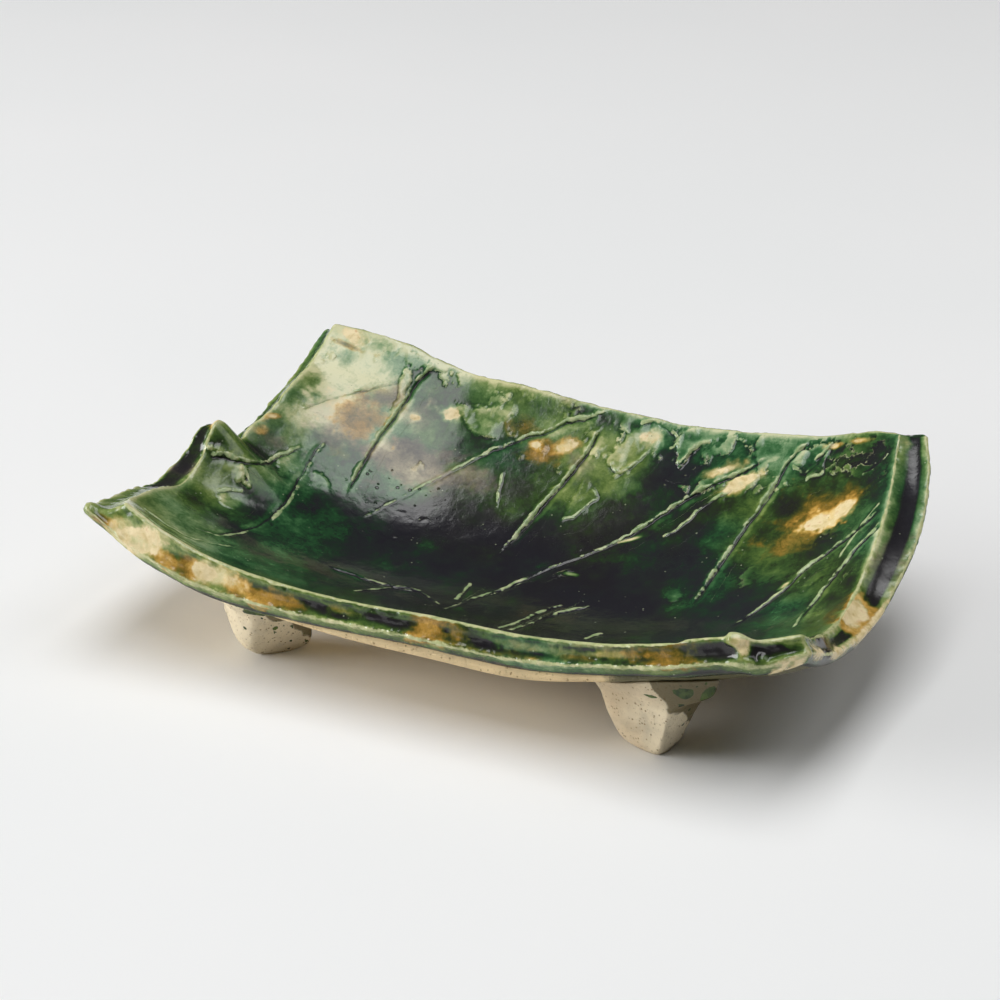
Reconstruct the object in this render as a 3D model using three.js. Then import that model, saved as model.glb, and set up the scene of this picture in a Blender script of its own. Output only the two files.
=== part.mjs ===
import * as THREE from 'three';

// Footed oblong plate, hand built in stoneware from one slab of clay.
// Millimetres. X runs along the plate, Y from the front edge to the back edge, Z up from the table.

// Slab: a shallow dish, before its edges are bent
const HALF_LENGTH = 138;
const HALF_DEPTH = 84;
const SLAB_THICKNESS = 9;
const DISH_CLEARANCE = 10;
const FLOOR_HEIGHT = DISH_CLEARANCE + SLAB_THICKNESS;
const RIM_RISE = 38;
const LENGTH_CURVE = 2.6;
const DEPTH_CURVE = 2;

// Each edge is a list of stations: [place along the edge from -1 to 1, outset, rise over the floor].
const FRONT_EDGE = [
  [-1, -4, 43.5], [-0.84, 0, 37], [-0.72, 0, 31.5], [-0.53, 0, 27], [-0.28, 0, 25], [0, 0, 26.3],
  [0.3, 0, 27], [0.5, 0, 30.5], [0.66, 0, 36], [0.8, -1, 42], [0.9, -3.5, 42.5], [1, -9, 45],
];
const BACK_EDGE = [
  [-1, 1, 60], [-0.85, 2, 58.5], [-0.72, 2, 56], [-0.6, 2, 51.5], [-0.46, 2, 47.5], [-0.3, 2, 46.5],
  [-0.1, 2, 44], [0.2, 2, 41.5], [0.55, 2, 45], [0.7, 2, 47.5], [0.85, 2, 52], [1, -2, 55.5],
];
const LEFT_EDGE = [
  [-1, -6, 43.5], [-0.85, -1, 40], [-0.5, 0, 36], [0, -1, 36.5],
  [0.3, -6, 39.5], [0.55, -7, 45.5], [0.8, -7, 50], [1, -8, 60],
];
const RIGHT_EDGE = [
  [-1, -1.5, 45], [-0.8, -1, 38], [-0.55, -2, 31], [-0.3, -2.5, 28], [-0.05, -3.5, 29],
  [0.1, -4, 33], [0.3, -5, 38], [0.5, -7, 42], [0.7, -10, 46.5], [1, -15, 55.5],
];

// The torn lip beyond each edge: [place along the edge, reach outwards, drop].
const FRONT_LIP = [
  [-1, 2, 4], [-0.93, 2.5, 10], [-0.8, 3, 11.5], [-0.5, 3, 9], [-0.2, 3, 7.5],
  [0.2, 3, 8.5], [0.5, 3, 7], [0.8, 3, 8.5], [0.9, 3, 8], [1, 2.5, 5],
];
const BACK_LIP = [[-1, 4, 5], [-0.8, 5, 8], [0.75, 5, 8], [1, 4, 0]];
const LEFT_LIP = [
  [-1, 16, 4], [-0.7, 13, 3], [-0.3, 13, 1.5], [-0.12, 8, 1.5],
  [0.02, 5.5, 3.5], [0.15, 6, 4.5], [0.6, 7.5, 6], [1, 7.5, 5],
];
const RIGHT_LIP = [
  [-1, 4, 4.5], [-0.85, 4.5, 5], [-0.65, 5.5, 5], [-0.4, 7.5, 5], [-0.1, 11, 4],
  [0.2, 13.5, 3.5], [0.6, 14.5, 2.5], [0.85, 13.5, 1], [1, 10.5, 0],
];
const LIP_HOLLOW = 0.1;
const UNDER_LIP_INSET = 2;
const UNDER_LIP_DROP = 4;

// The slab sags along the middle of its front edge, under the torn lip.
const FRONT_SAG = 4.8;
const FRONT_SAG_PLACE = 0.1;
const FRONT_SAG_REACH = 0.5;

// Local ruffles of the edges: place along, half width, outset, rise, and how far each one reaches in.
const RUFFLES = [
  { edge: 'left', along: -0.36, width: 14, outset: 0, rise: -5.5, reach: 30 },
  { edge: 'left', along: -0.03, width: 9, outset: 0, rise: 11, reach: 26 },
  { edge: 'left', along: 0.085, width: 6, outset: -2.5, rise: -4.5, reach: 18 },
  { edge: 'front', along: 0.86, width: 4.5, outset: 1, rise: 1.5, reach: 10 },
];

// How quickly the shape of an edge fades towards the middle of the plate, for x, y and z.
const EDGE_FADE = [1, 1, 4];
const UNDER_FADE = [16, 10, 10];
const CORNER_SWEEP = 3;
const LIP_CORNER_SWEEP = 12;

// Glaze
const GLAZE_THICKNESS = 0.8;
const GLAZE_GAP = 0.35;
const MITRE_LIMIT = 1.6;

// Feet: pinched lumps of clay, each a little different.
const FOOT_HALF_WIDTH = 23;
const FOOT_HALF_DEPTH = 15.5;
const FOOT_END_INSET = 52;
const FOOT_SIDE_INSET = 22;
const SEAT_GAP = 0.35;
const FOOT_PINCH = 1.6;
const FOOT_SEGMENTS = 24;
const FOOT_CAP_RINGS = 4;
// Share of the foot's height, and half width as a share of the root's half width.
const FOOT_PROFILE = [[0, 0.3], [0.05, 0.42], [0.16, 0.52], [0.42, 0.68], [0.72, 0.84], [1, 1]];
// Each foot has its own shares of these insets and half sizes, its turn in degrees, and how far its root
// is dragged towards the left end.
const LEFT = -1;
const RIGHT = 1;
const FRONT = -1;
const BACK = 1;
const FEET = [
  { side: 'front_left', at: [LEFT, FRONT], inset: [0.99, 0.98], size: [0.96, 1], turn: 8, flare: 0.06 },
  { side: 'front_right', at: [RIGHT, FRONT], inset: [1.02, 0.95], size: [1.09, 1], turn: -6, flare: 0.16 },
  { side: 'back_left', at: [LEFT, BACK], inset: [1, 1.05], size: [1, 1.03], turn: -5, flare: 0.1 },
  { side: 'back_right', at: [RIGHT, BACK], inset: [1, 1.09], size: [1, 1.03], turn: 9, flare: 0.08 },
].map((foot) => ({
  ...foot,
  name: `foot_${foot.side}`,
  x: foot.at[0] * (HALF_LENGTH - foot.inset[0] * FOOT_END_INSET),
  y: foot.at[1] * (HALF_DEPTH - foot.inset[1] * FOOT_SIDE_INSET),
  width: foot.size[0] * FOOT_HALF_WIDTH,
  depth: foot.size[1] * FOOT_HALF_DEPTH,
}));

// Grid of the slab
const COLUMNS = 36;
const ROWS = 24;

const EDGES = {
  front: { along: 'x', sign: -1, stations: FRONT_EDGE, lip: FRONT_LIP },
  back: { along: 'x', sign: 1, stations: BACK_EDGE, lip: BACK_LIP },
  left: { along: 'y', sign: -1, stations: LEFT_EDGE, lip: LEFT_LIP },
  right: { along: 'y', sign: 1, stations: RIGHT_EDGE, lip: RIGHT_LIP },
};

// Smooth curve through the stations of an edge.
function curve(stations, column, place) {
  const last = stations.length - 1;
  let i = 0;
  while (i < last - 1 && place > stations[i + 1][0]) {
    i += 1;
  }
  const rate = (k) => (stations[k + 1][column] - stations[k][column]) / (stations[k + 1][0] - stations[k][0]);
  const slope = (k) => {
    if (k === 0) {
      return rate(0);
    }
    if (k === last) {
      return rate(last - 1);
    }
    const mean = (rate(k - 1) + rate(k)) / 2;
    return rate(k - 1) * rate(k) <= 0 ? mean / 3 : mean;
  };
  const span = stations[i + 1][0] - stations[i][0];
  const s = (place - stations[i][0]) / span;
  const a = stations[i][column];
  const b = stations[i + 1][column];
  return (
    (2 * s ** 3 - 3 * s ** 2 + 1) * a +
    (s ** 3 - 2 * s ** 2 + s) * span * slope(i) +
    (3 * s ** 2 - 2 * s ** 3) * b +
    (s ** 3 - s ** 2) * span * slope(i + 1)
  );
}

// A shift that is nothing at the middle of an edge and full at its two ends.
function sweep(place, atStart, atEnd, power) {
  return place < 0 ? -atStart * (-place) ** power : atEnd * place ** power;
}

function onEdge(edge, place) {
  const { along, sign } = EDGES[edge];
  return along === 'x' ? [place, sign] : [sign, place];
}

// An offset across an edge, with the offsets of the neighbouring edges swept in at the corners.
function edgeOffset(edge, place, list, power, drop) {
  const { along, sign } = EDGES[edge];
  const across = sign * curve(EDGES[edge][list], 1, place);
  const [first, second] = along === 'x' ? ['left', 'right'] : ['front', 'back'];
  const atStart = curve(EDGES[first][list], 1, sign);
  const atEnd = curve(EDGES[second][list], 1, sign);
  const run = sweep(place, atStart, atEnd, power);
  const z = drop * curve(EDGES[edge][list], 2, place);
  return along === 'x' ? new THREE.Vector3(run, across, z) : new THREE.Vector3(across, run, z);
}

function dish(u, v) {
  const bowl = 1 - (1 - Math.abs(u) ** LENGTH_CURVE) * (1 - Math.abs(v) ** DEPTH_CURVE);
  return new THREE.Vector3(u * HALF_LENGTH, v * HALF_DEPTH, FLOOR_HEIGHT + RIM_RISE * bowl);
}

// Spreads a field given on the four edges over the whole plate, fading towards the middle.
function spread(u, v, field, fades) {
  const cu = Math.min(1, Math.max(-1, u));
  const cv = Math.min(1, Math.max(-1, v));
  const edge = {
    front: field('front', cu),
    back: field('back', cu),
    left: field('left', cv),
    right: field('right', cv),
  };
  const corner = {
    frontLeft: field('front', -1),
    frontRight: field('front', 1),
    backLeft: field('back', -1),
    backRight: field('back', 1),
  };
  const out = new THREE.Vector3();
  ['x', 'y', 'z'].forEach((axis, k) => {
    const front = ((1 - cv) / 2) ** fades[k];
    const back = ((1 + cv) / 2) ** fades[k];
    const left = ((1 - cu) / 2) ** fades[k];
    const right = ((1 + cu) / 2) ** fades[k];
    out[axis] =
      front * edge.front[axis] + back * edge.back[axis] + left * edge.left[axis] + right * edge.right[axis] -
      front * left * corner.frontLeft[axis] - front * right * corner.frontRight[axis] -
      back * left * corner.backLeft[axis] - back * right * corner.backRight[axis];
  });
  return out;
}

function rimShift(edge, place) {
  const flat = dish(...onEdge(edge, place));
  const across = edgeOffset(edge, place, 'stations', CORNER_SWEEP, 1);
  return new THREE.Vector3(across.x, across.y, across.z + FLOOR_HEIGHT - flat.z);
}

function ruffle(u, v) {
  const out = new THREE.Vector3();
  RUFFLES.forEach(({ edge, along, width, outset, rise, reach }) => {
    const { along: axis, sign } = EDGES[edge];
    const aside = axis === 'x' ? (u - along) * HALF_LENGTH : (v - along) * HALF_DEPTH;
    const inwards = axis === 'x' ? (1 - sign * v) * HALF_DEPTH : (1 - sign * u) * HALF_LENGTH;
    const amount = Math.exp(-((aside / width) ** 2) - (inwards / reach) ** 2);
    out[axis === 'x' ? 'y' : 'x'] += sign * outset * amount;
    out.z += rise * amount;
  });
  return out;
}

function topPoint(u, v) {
  return dish(u, v).add(spread(u, v, rimShift, EDGE_FADE)).add(ruffle(u, v));
}

function topNormal(u, v) {
  const step = 0.01;
  const u0 = Math.max(-1, u - step);
  const u1 = Math.min(1, u + step);
  const v0 = Math.max(-1, v - step);
  const v1 = Math.min(1, v + step);
  const alongLength = topPoint(u1, v).sub(topPoint(u0, v));
  const alongDepth = topPoint(u, v1).sub(topPoint(u, v0));
  return alongLength.cross(alongDepth).normalize();
}

function lipOffset(edge, place) {
  return edgeOffset(edge, place, 'lip', LIP_CORNER_SWEEP, -1);
}

function outerArris(edge, place) {
  return topPoint(...onEdge(edge, place)).add(lipOffset(edge, place));
}

// The torn face between the two arrises is slightly hollow.
function lipMiddle(edge, place) {
  const inner = topPoint(...onEdge(edge, place));
  const offset = lipOffset(edge, place);
  const run = new THREE.Vector3(offset.x, offset.y, 0);
  const down = new THREE.Vector3(0, 0, -1).projectOnPlane(offset.clone().normalize());
  const inwards = run.clone().normalize().negate().projectOnPlane(offset.clone().normalize());
  const hollow = down.add(inwards).normalize().multiplyScalar(LIP_HOLLOW * offset.length());
  return inner.add(offset.multiplyScalar(0.5)).add(hollow);
}

function sag(edge, place) {
  const aside = Math.abs(place - FRONT_SAG_PLACE) / FRONT_SAG_REACH;
  return edge === 'front' ? FRONT_SAG * Math.exp(-(aside ** 3)) : 0;
}

function underArris(edge, place) {
  const offset = lipOffset(edge, place);
  const reach = Math.hypot(offset.x, offset.y);
  const kept = (reach - UNDER_LIP_INSET) / reach;
  const drop = UNDER_LIP_DROP + sag(edge, place);
  const under = new THREE.Vector3(offset.x * kept, offset.y * kept, offset.z - drop);
  return topPoint(...onEdge(edge, place)).add(under);
}

function slabBelow(u, v) {
  return topPoint(u, v).addScaledVector(topNormal(u, v), -SLAB_THICKNESS);
}

function underShift(edge, place) {
  return underArris(edge, place).sub(slabBelow(...onEdge(edge, place)));
}

function underPoint(u, v) {
  return slabBelow(u, v).add(spread(u, v, underShift, UNDER_FADE));
}

// Height of the underside over a point of the table.
function underHeight(x, y) {
  let u = x / HALF_LENGTH;
  let v = y / HALF_DEPTH;
  let point = underPoint(u, v);
  for (let pass = 0; pass < 12; pass += 1) {
    u += (x - point.x) / HALF_LENGTH;
    v += (y - point.y) / HALF_DEPTH;
    point = underPoint(u, v);
  }
  return point.z;
}

function share(index, count) {
  return (2 * index) / count - 1;
}

// Border of the grid, anticlockwise from the front left corner: edge, place and grid vertex.
function borderLoop() {
  const at = (i, j) => j * (COLUMNS + 1) + i;
  const loop = [];
  for (let i = 0; i < COLUMNS; i += 1) {
    loop.push({ edge: 'front', place: share(i, COLUMNS), vertex: at(i, 0) });
  }
  for (let j = 0; j < ROWS; j += 1) {
    loop.push({ edge: 'right', place: share(j, ROWS), vertex: at(COLUMNS, j) });
  }
  for (let i = COLUMNS; i > 0; i -= 1) {
    loop.push({ edge: 'back', place: share(i, COLUMNS), vertex: at(i, ROWS) });
  }
  for (let j = ROWS; j > 0; j -= 1) {
    loop.push({ edge: 'left', place: share(j, ROWS), vertex: at(0, j) });
  }
  return loop;
}

function gridPoints(surface) {
  const points = [];
  for (let j = 0; j <= ROWS; j += 1) {
    for (let i = 0; i <= COLUMNS; i += 1) {
      points.push(surface(share(i, COLUMNS), share(j, ROWS)));
    }
  }
  return points;
}

function gridFaces(points, start, upwards) {
  const faces = [];
  for (let j = 0; j < ROWS; j += 1) {
    for (let i = 0; i < COLUMNS; i += 1) {
      const a = start + j * (COLUMNS + 1) + i;
      const b = a + 1;
      const c = b + COLUMNS + 1;
      const d = c - 1;
      const pair = [[a, b, c], [a, c, d]];
      pair.forEach(([p, q, r]) => faces.push(upwards ? [p, q, r] : [p, r, q]));
    }
  }
  return faces;
}

// Faces of a band between two rings, the first one inside or above the second.
function bandFaces(first, second) {
  const faces = [];
  first.forEach((a, k) => {
    const next = (k + 1) % first.length;
    faces.push([a, second[k], second[next]], [a, second[next], first[next]]);
  });
  return faces;
}

function solid(points, faces) {
  const geometry = new THREE.BufferGeometry();
  const positions = new Float32Array(points.length * 3);
  points.forEach((point, k) => point.toArray(positions, 3 * k));
  geometry.setAttribute('position', new THREE.BufferAttribute(positions, 3));
  geometry.setIndex(faces.flat());
  geometry.computeVertexNormals();
  return geometry;
}

function slabShell() {
  const loop = borderLoop();
  const points = gridPoints(topPoint);
  const gridSize = points.length;
  const inner = loop.map((stop) => stop.vertex);
  const middle = loop.map((stop, k) => gridSize + k);
  loop.forEach((stop) => points.push(lipMiddle(stop.edge, stop.place)));
  const outer = loop.map((stop, k) => points.length + k);
  loop.forEach((stop) => points.push(outerArris(stop.edge, stop.place)));
  const start = points.length;
  points.push(...gridPoints(underPoint));
  const under = loop.map((stop) => start + stop.vertex);
  const glazed = [
    ...gridFaces(points, 0, true),
    ...bandFaces(inner, middle),
    ...bandFaces(middle, outer),
    ...bandFaces(outer, under),
  ];
  const bare = gridFaces(points, start, false);
  return { points, glazed, bare, under };
}

// Offsets that keep a skin at one distance from every face around each point.
function mitres(points, faces) {
  const around = points.map(() => []);
  faces.forEach(([a, b, c]) => {
    const first = points[b].clone().sub(points[a]);
    const second = points[c].clone().sub(points[a]);
    const normal = first.cross(second).normalize();
    [a, b, c].forEach((k) => around[k].push(normal));
  });
  return around.map((normals) => {
    const mean = new THREE.Vector3();
    normals.forEach((normal) => mean.add(normal));
    mean.normalize();
    const least = Math.min(...normals.map((normal) => normal.dot(mean)));
    return mean.multiplyScalar(Math.min(MITRE_LIMIT, 1 / Math.max(least, 0.2)));
  });
}

function glazeSkin({ points, glazed, bare, under }) {
  const directions = mitres(points, [...glazed, ...bare]);
  const used = [...new Set(glazed.flat())].sort((a, b) => a - b);
  const renamed = new Map(used.map((vertex, k) => [vertex, k]));
  const lift = (distance) => used.map((k) => points[k].clone().addScaledVector(directions[k], distance));
  const skinPoints = [...lift(GLAZE_GAP + GLAZE_THICKNESS), ...lift(GLAZE_GAP)];
  const outside = glazed.map((face) => face.map((k) => renamed.get(k)));
  const inside = outside.map(([a, b, c]) => [a + used.length, c + used.length, b + used.length]);
  const rimOutside = under.map((k) => renamed.get(k));
  const rimInside = rimOutside.map((k) => k + used.length);
  return solid(skinPoints, [...outside, ...inside, ...bandFaces(rimOutside, rimInside)]);
}

// Outline of a foot at one level: a pinched round with a ridge to the front and back.
function footPoint(foot, angle, size) {
  const cos = Math.cos(angle);
  const sin = Math.sin(angle);
  const round = (Math.abs(cos) ** FOOT_PINCH + Math.abs(sin) ** FOOT_PINCH) ** (-1 / FOOT_PINCH);
  const drag = 1 - foot.flare * size * size * cos;
  const x = foot.width * size * round * cos * drag;
  const y = foot.depth * size * round * sin;
  const turn = THREE.MathUtils.degToRad(foot.turn);
  return [
    foot.x + x * Math.cos(turn) - y * Math.sin(turn),
    foot.y + x * Math.sin(turn) + y * Math.cos(turn),
  ];
}

function footSolid(foot) {
  const points = [];
  const faces = [];
  const rings = FOOT_PROFILE.map(([height, size]) => {
    const ring = [];
    for (let k = 0; k < FOOT_SEGMENTS; k += 1) {
      const [x, y] = footPoint(foot, (2 * Math.PI * k) / FOOT_SEGMENTS, size);
      ring.push(points.length);
      points.push(new THREE.Vector3(x, y, height * (underHeight(x, y) - SEAT_GAP)));
    }
    return ring;
  });
  for (let k = 1; k < rings.length; k += 1) {
    faces.push(...bandFaces(rings[k], rings[k - 1]));
  }
  const padCentre = points.length;
  points.push(new THREE.Vector3(foot.x, foot.y, 0));
  rings[0].forEach((a, k) => faces.push([padCentre, rings[0][(k + 1) % FOOT_SEGMENTS], a]));
  let edge = rings[rings.length - 1];
  for (let step = FOOT_CAP_RINGS - 1; step > 0; step -= 1) {
    const ring = [];
    for (let k = 0; k < FOOT_SEGMENTS; k += 1) {
      const [x, y] = footPoint(foot, (2 * Math.PI * k) / FOOT_SEGMENTS, step / FOOT_CAP_RINGS);
      ring.push(points.length);
      points.push(new THREE.Vector3(x, y, underHeight(x, y) - SEAT_GAP));
    }
    faces.push(...bandFaces(ring, edge));
    edge = ring;
  }
  const seatCentre = points.length;
  points.push(new THREE.Vector3(foot.x, foot.y, underHeight(foot.x, foot.y) - SEAT_GAP));
  edge.forEach((a, k) => faces.push([seatCentre, a, edge[(k + 1) % FOOT_SEGMENTS]]));
  return solid(points, faces);
}

function piece(name, geometry, color, roughness) {
  const material = new THREE.MeshStandardMaterial({ color, roughness, metalness: 0 });
  const mesh = new THREE.Mesh(geometry, material);
  mesh.name = name;
  return mesh;
}

const shell = slabShell();
const plate = new THREE.Group();
plate.name = 'footed_oblong_plate';
plate.add(piece('plate_slab', solid(shell.points, [...shell.glazed, ...shell.bare]), 0xd3c39c, 0.85));
plate.add(piece('glaze_coat', glazeSkin(shell), 0x2f5736, 0.18));
FEET.forEach((foot) => plate.add(piece(foot.name, footSolid(foot), 0xd8caa4, 0.85)));

// Centre the plate over the origin.
const middle = new THREE.Box3().setFromObject(plate).getCenter(new THREE.Vector3());
plate.children.forEach((mesh) => mesh.geometry.translate(-middle.x, -middle.y, 0));

export default plate;
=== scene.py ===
import math

import bpy
import numpy as np
from mathutils import Matrix, Vector
from mathutils.kdtree import KDTree


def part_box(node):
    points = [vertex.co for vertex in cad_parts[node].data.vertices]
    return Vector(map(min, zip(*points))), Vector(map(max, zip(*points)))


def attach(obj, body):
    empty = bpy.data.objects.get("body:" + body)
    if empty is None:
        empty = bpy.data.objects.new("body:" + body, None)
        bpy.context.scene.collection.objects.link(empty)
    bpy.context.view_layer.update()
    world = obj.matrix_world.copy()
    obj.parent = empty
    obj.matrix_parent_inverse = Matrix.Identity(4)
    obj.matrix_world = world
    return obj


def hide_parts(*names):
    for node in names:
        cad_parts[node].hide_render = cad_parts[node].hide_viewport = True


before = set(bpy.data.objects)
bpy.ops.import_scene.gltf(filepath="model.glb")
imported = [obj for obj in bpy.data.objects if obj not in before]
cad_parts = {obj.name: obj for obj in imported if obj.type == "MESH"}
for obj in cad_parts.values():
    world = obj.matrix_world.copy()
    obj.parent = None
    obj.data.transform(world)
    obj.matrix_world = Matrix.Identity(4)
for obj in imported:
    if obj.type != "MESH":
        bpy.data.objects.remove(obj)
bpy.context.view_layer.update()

# The slab's shape, in millimetres
HALF_LENGTH = 138.0
HALF_DEPTH = 84.0
SLAB_THICKNESS = 9.0
FLOOR_HEIGHT = 19.0
RIM_RISE = 38.0
LENGTH_CURVE = 2.6
DEPTH_CURVE = 2.0
EDGE_FADE = (1, 1, 4)
UNDER_FADE = (16, 10, 10)
CORNER_SWEEP = 3
LIP_CORNER_SWEEP = 12
LIP_HOLLOW = 0.1
UNDER_LIP_INSET = 2.0
UNDER_LIP_DROP = 4.0
FRONT_SAG = (4.8, .1, .5)      # drop, place and reach along the front edge
GLAZE_LIFT = 0.75              # the visible skin lies midway in the glaze solid
HEM_SINK = 0.8                 # and its hem ends inside the slab

# Stations along the inner arris: place from -1 to 1, shift outwards, height over the floor of the dish
EDGE = {
    "front": [(-1, -4, 43.5), (-.84, 0, 37), (-.72, 0, 31.5), (-.53, 0, 27), (-.28, 0, 25), (0, 0, 26.3),
              (.3, 0, 27), (.5, 0, 30.5), (.66, 0, 36), (.8, -1, 42), (.9, -3.5, 42.5), (1, -9, 45)],
    "back": [(-1, 1, 60), (-.85, 2, 58.5), (-.72, 2, 56), (-.6, 2, 51.5), (-.46, 2, 47.5), (-.3, 2, 46.5),
             (-.1, 2, 44), (.2, 2, 41.5), (.55, 2, 45), (.7, 2, 47.5), (.85, 2, 52), (1, -2, 55.5)],
    "left": [(-1, -6, 43.5), (-.85, -1, 40), (-.5, 0, 36), (0, -1, 36.5),
             (.3, -6, 39.5), (.55, -7, 45.5), (.8, -7, 50), (1, -8, 60)],
    "right": [(-1, -1.5, 45), (-.8, -1, 38), (-.55, -2, 31), (-.3, -2.5, 28), (-.05, -3.5, 29),
              (.1, -4, 33), (.3, -5, 38), (.5, -7, 42), (.7, -10, 46.5), (1, -15, 55.5)],
}
# Stations along the torn lip: place, how far the lip runs outwards, how far it drops
LIP = {
    "front": [(-1, 2, 4), (-.93, 2.5, 10), (-.8, 3, 11.5), (-.5, 3, 9), (-.2, 3, 7.5),
              (.2, 3, 8.5), (.5, 3, 7), (.8, 3, 8.5), (.9, 3, 8), (1, 2.5, 5)],
    "back": [(-1, 4, 5), (-.8, 5, 8), (.75, 5, 8), (1, 4, 0)],
    "left": [(-1, 16, 4), (-.7, 13, 3), (-.3, 13, 1.5), (-.12, 8, 1.5), (.02, 5.5, 3.5), (.15, 6, 4.5),
             (.6, 7.5, 6), (1, 7.5, 5)],
    "right": [(-1, 4, 4.5), (-.85, 4.5, 5), (-.65, 5.5, 5), (-.4, 7.5, 5), (-.1, 11, 4), (.2, 13.5, 3.5),
              (.6, 14.5, 2.5), (.85, 13.5, 1), (1, 10.5, 0)],
}
# Ruffles of the edge: edge, place along it, half width, outset, rise, reach into the dish
RUFFLES = [
    ("left", -.36, 14, 0, -5.5, 30), ("left", -.03, 9, 0, 11, 26), ("left", .085, 6, -2.5, -4.5, 18),
    ("front", .86, 4.5, 1, 1.5, 10),
]
SIDES = ("front", "right", "back", "left")
SIGN = {"front": -1, "back": 1, "left": -1, "right": 1}
LENGTHWISE = ("front", "back")


def curve(stations, column, place):
    """Smooth curve through the stations of an edge."""
    table = np.array(stations, float)
    x, y = table[:, 0], table[:, column]
    rate = np.diff(y) / np.diff(x)
    slope = np.empty(len(x))
    slope[0], slope[-1] = rate[0], rate[-1]
    slope[1:-1] = (rate[:-1] + rate[1:]) / 2
    slope[1:-1][rate[:-1] * rate[1:] <= 0] /= 3
    place = np.clip(np.asarray(place, float), -1, 1)
    i = np.clip(np.searchsorted(x, place, side="left") - 1, 0, len(x) - 2)
    span = x[i + 1] - x[i]
    s = (place - x[i]) / span
    return ((2 * s**3 - 3 * s**2 + 1) * y[i] + (s**3 - 2 * s**2 + s) * span * slope[i]
            + (3 * s**2 - 2 * s**3) * y[i + 1] + (s**3 - s**2) * span * slope[i + 1])


def edge_offset(lists, edge, place, power, drop):
    """Offset at a place on an edge, which runs into the next edge's offset at each corner."""
    sign = SIGN[edge]
    across = sign * curve(lists[edge], 1, place)
    first, second = ("left", "right") if edge in LENGTHWISE else ("front", "back")
    reach = np.where(place < 0, -curve(lists[first], 1, sign), curve(lists[second], 1, sign))
    run = reach * np.abs(place) ** power
    z = drop * curve(lists[edge], 2, place)
    return np.stack([run, across, z] if edge in LENGTHWISE else [across, run, z], -1)


def on_edge(edge, place):
    other = np.full_like(place, SIGN[edge])
    return (place, other) if edge in LENGTHWISE else (other, place)


def dish(u, v):
    bowl = 1 - (1 - np.abs(u) ** LENGTH_CURVE) * (1 - np.abs(v) ** DEPTH_CURVE)
    return np.stack([u * HALF_LENGTH, v * HALF_DEPTH, FLOOR_HEIGHT + RIM_RISE * bowl], -1)


def spread(u, v, field, fades):
    """Fades a field given on the four edges towards the middle."""
    values = {e: field(e, (u if e in LENGTHWISE else v).ravel()).reshape(u.shape + (3,)) for e in SIDES}
    corner = {e: field(e, np.array([-1.0, 1.0])) for e in LENGTHWISE}
    out = np.zeros(u.shape + (3,))
    for k, fade in enumerate(fades):
        weight = {"front": ((1 - v) / 2) ** fade, "back": ((1 + v) / 2) ** fade,
             "left": ((1 - u) / 2) ** fade, "right": ((1 + u) / 2) ** fade}
        out[..., k] = sum(weight[e] * values[e][..., k] for e in SIDES)
        for e in LENGTHWISE:
            out[..., k] -= weight[e] * (weight["left"] * corner[e][0, k] + weight["right"] * corner[e][1, k])
    return out


def rim_shift(edge, place):
    shift = edge_offset(EDGE, edge, place, CORNER_SWEEP, 1)
    shift[..., 2] += FLOOR_HEIGHT - dish(*on_edge(edge, place))[..., 2]
    return shift


def ruffle(u, v):
    out = np.zeros(u.shape + (3,))
    for edge, along, width, outset, rise, reach in RUFFLES:
        lengthwise, sign = edge in LENGTHWISE, SIGN[edge]
        aside = (u - along) * HALF_LENGTH if lengthwise else (v - along) * HALF_DEPTH
        inwards = (1 - sign * v) * HALF_DEPTH if lengthwise else (1 - sign * u) * HALF_LENGTH
        amount = np.exp(-(aside / width) ** 2 - (inwards / reach) ** 2)
        out[..., 1 if lengthwise else 0] += sign * outset * amount
        out[..., 2] += rise * amount
    return out


def top(u, v):
    return dish(u, v) + spread(u, v, rim_shift, EDGE_FADE) + ruffle(u, v)


def normal(u, v, step=0.01):
    u0, u1 = np.maximum(-1, u - step), np.minimum(1, u + step)
    v0, v1 = np.maximum(-1, v - step), np.minimum(1, v + step)
    n = np.cross(top(u1, v) - top(u0, v), top(u, v1) - top(u, v0))
    return n / np.linalg.norm(n, axis=-1, keepdims=True)


def lip_offset(edge, place):
    return edge_offset(LIP, edge, place, LIP_CORNER_SWEEP, -1)


def sag(edge, place):
    drop, middle, reach = FRONT_SAG
    return (edge == "front") * drop * np.exp(-(np.abs(place - middle) / reach) ** 3)


def under_arris(edge, place, sagging=1):
    offset = lip_offset(edge, place)
    reach = np.linalg.norm(offset[..., :2], axis=-1, keepdims=True)
    offset[..., :2] *= (reach - UNDER_LIP_INSET) / reach
    offset[..., 2] -= UNDER_LIP_DROP + sagging * sag(edge, place)
    return top(*on_edge(edge, place)) + offset


def slab_below(u, v):
    return top(u, v) - normal(u, v) * SLAB_THICKNESS


def under_shift(edge, place):
    return under_arris(edge, place) - slab_below(*on_edge(edge, place))


def under(u, v):
    return slab_below(u, v) + spread(u, v, under_shift, UNDER_FADE)


def under_height(x, y):
    """Height of the underside over points of the table."""
    u, v = x / HALF_LENGTH, y / HALF_DEPTH
    p = under(u, v)
    for _ in range(8):
        u = np.clip(u + (x - p[..., 0]) / HALF_LENGTH, -1, 1)
        v = np.clip(v + (y - p[..., 1]) / HALF_DEPTH, -1, 1)
        p = under(u, v)
    return p[..., 2]


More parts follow.
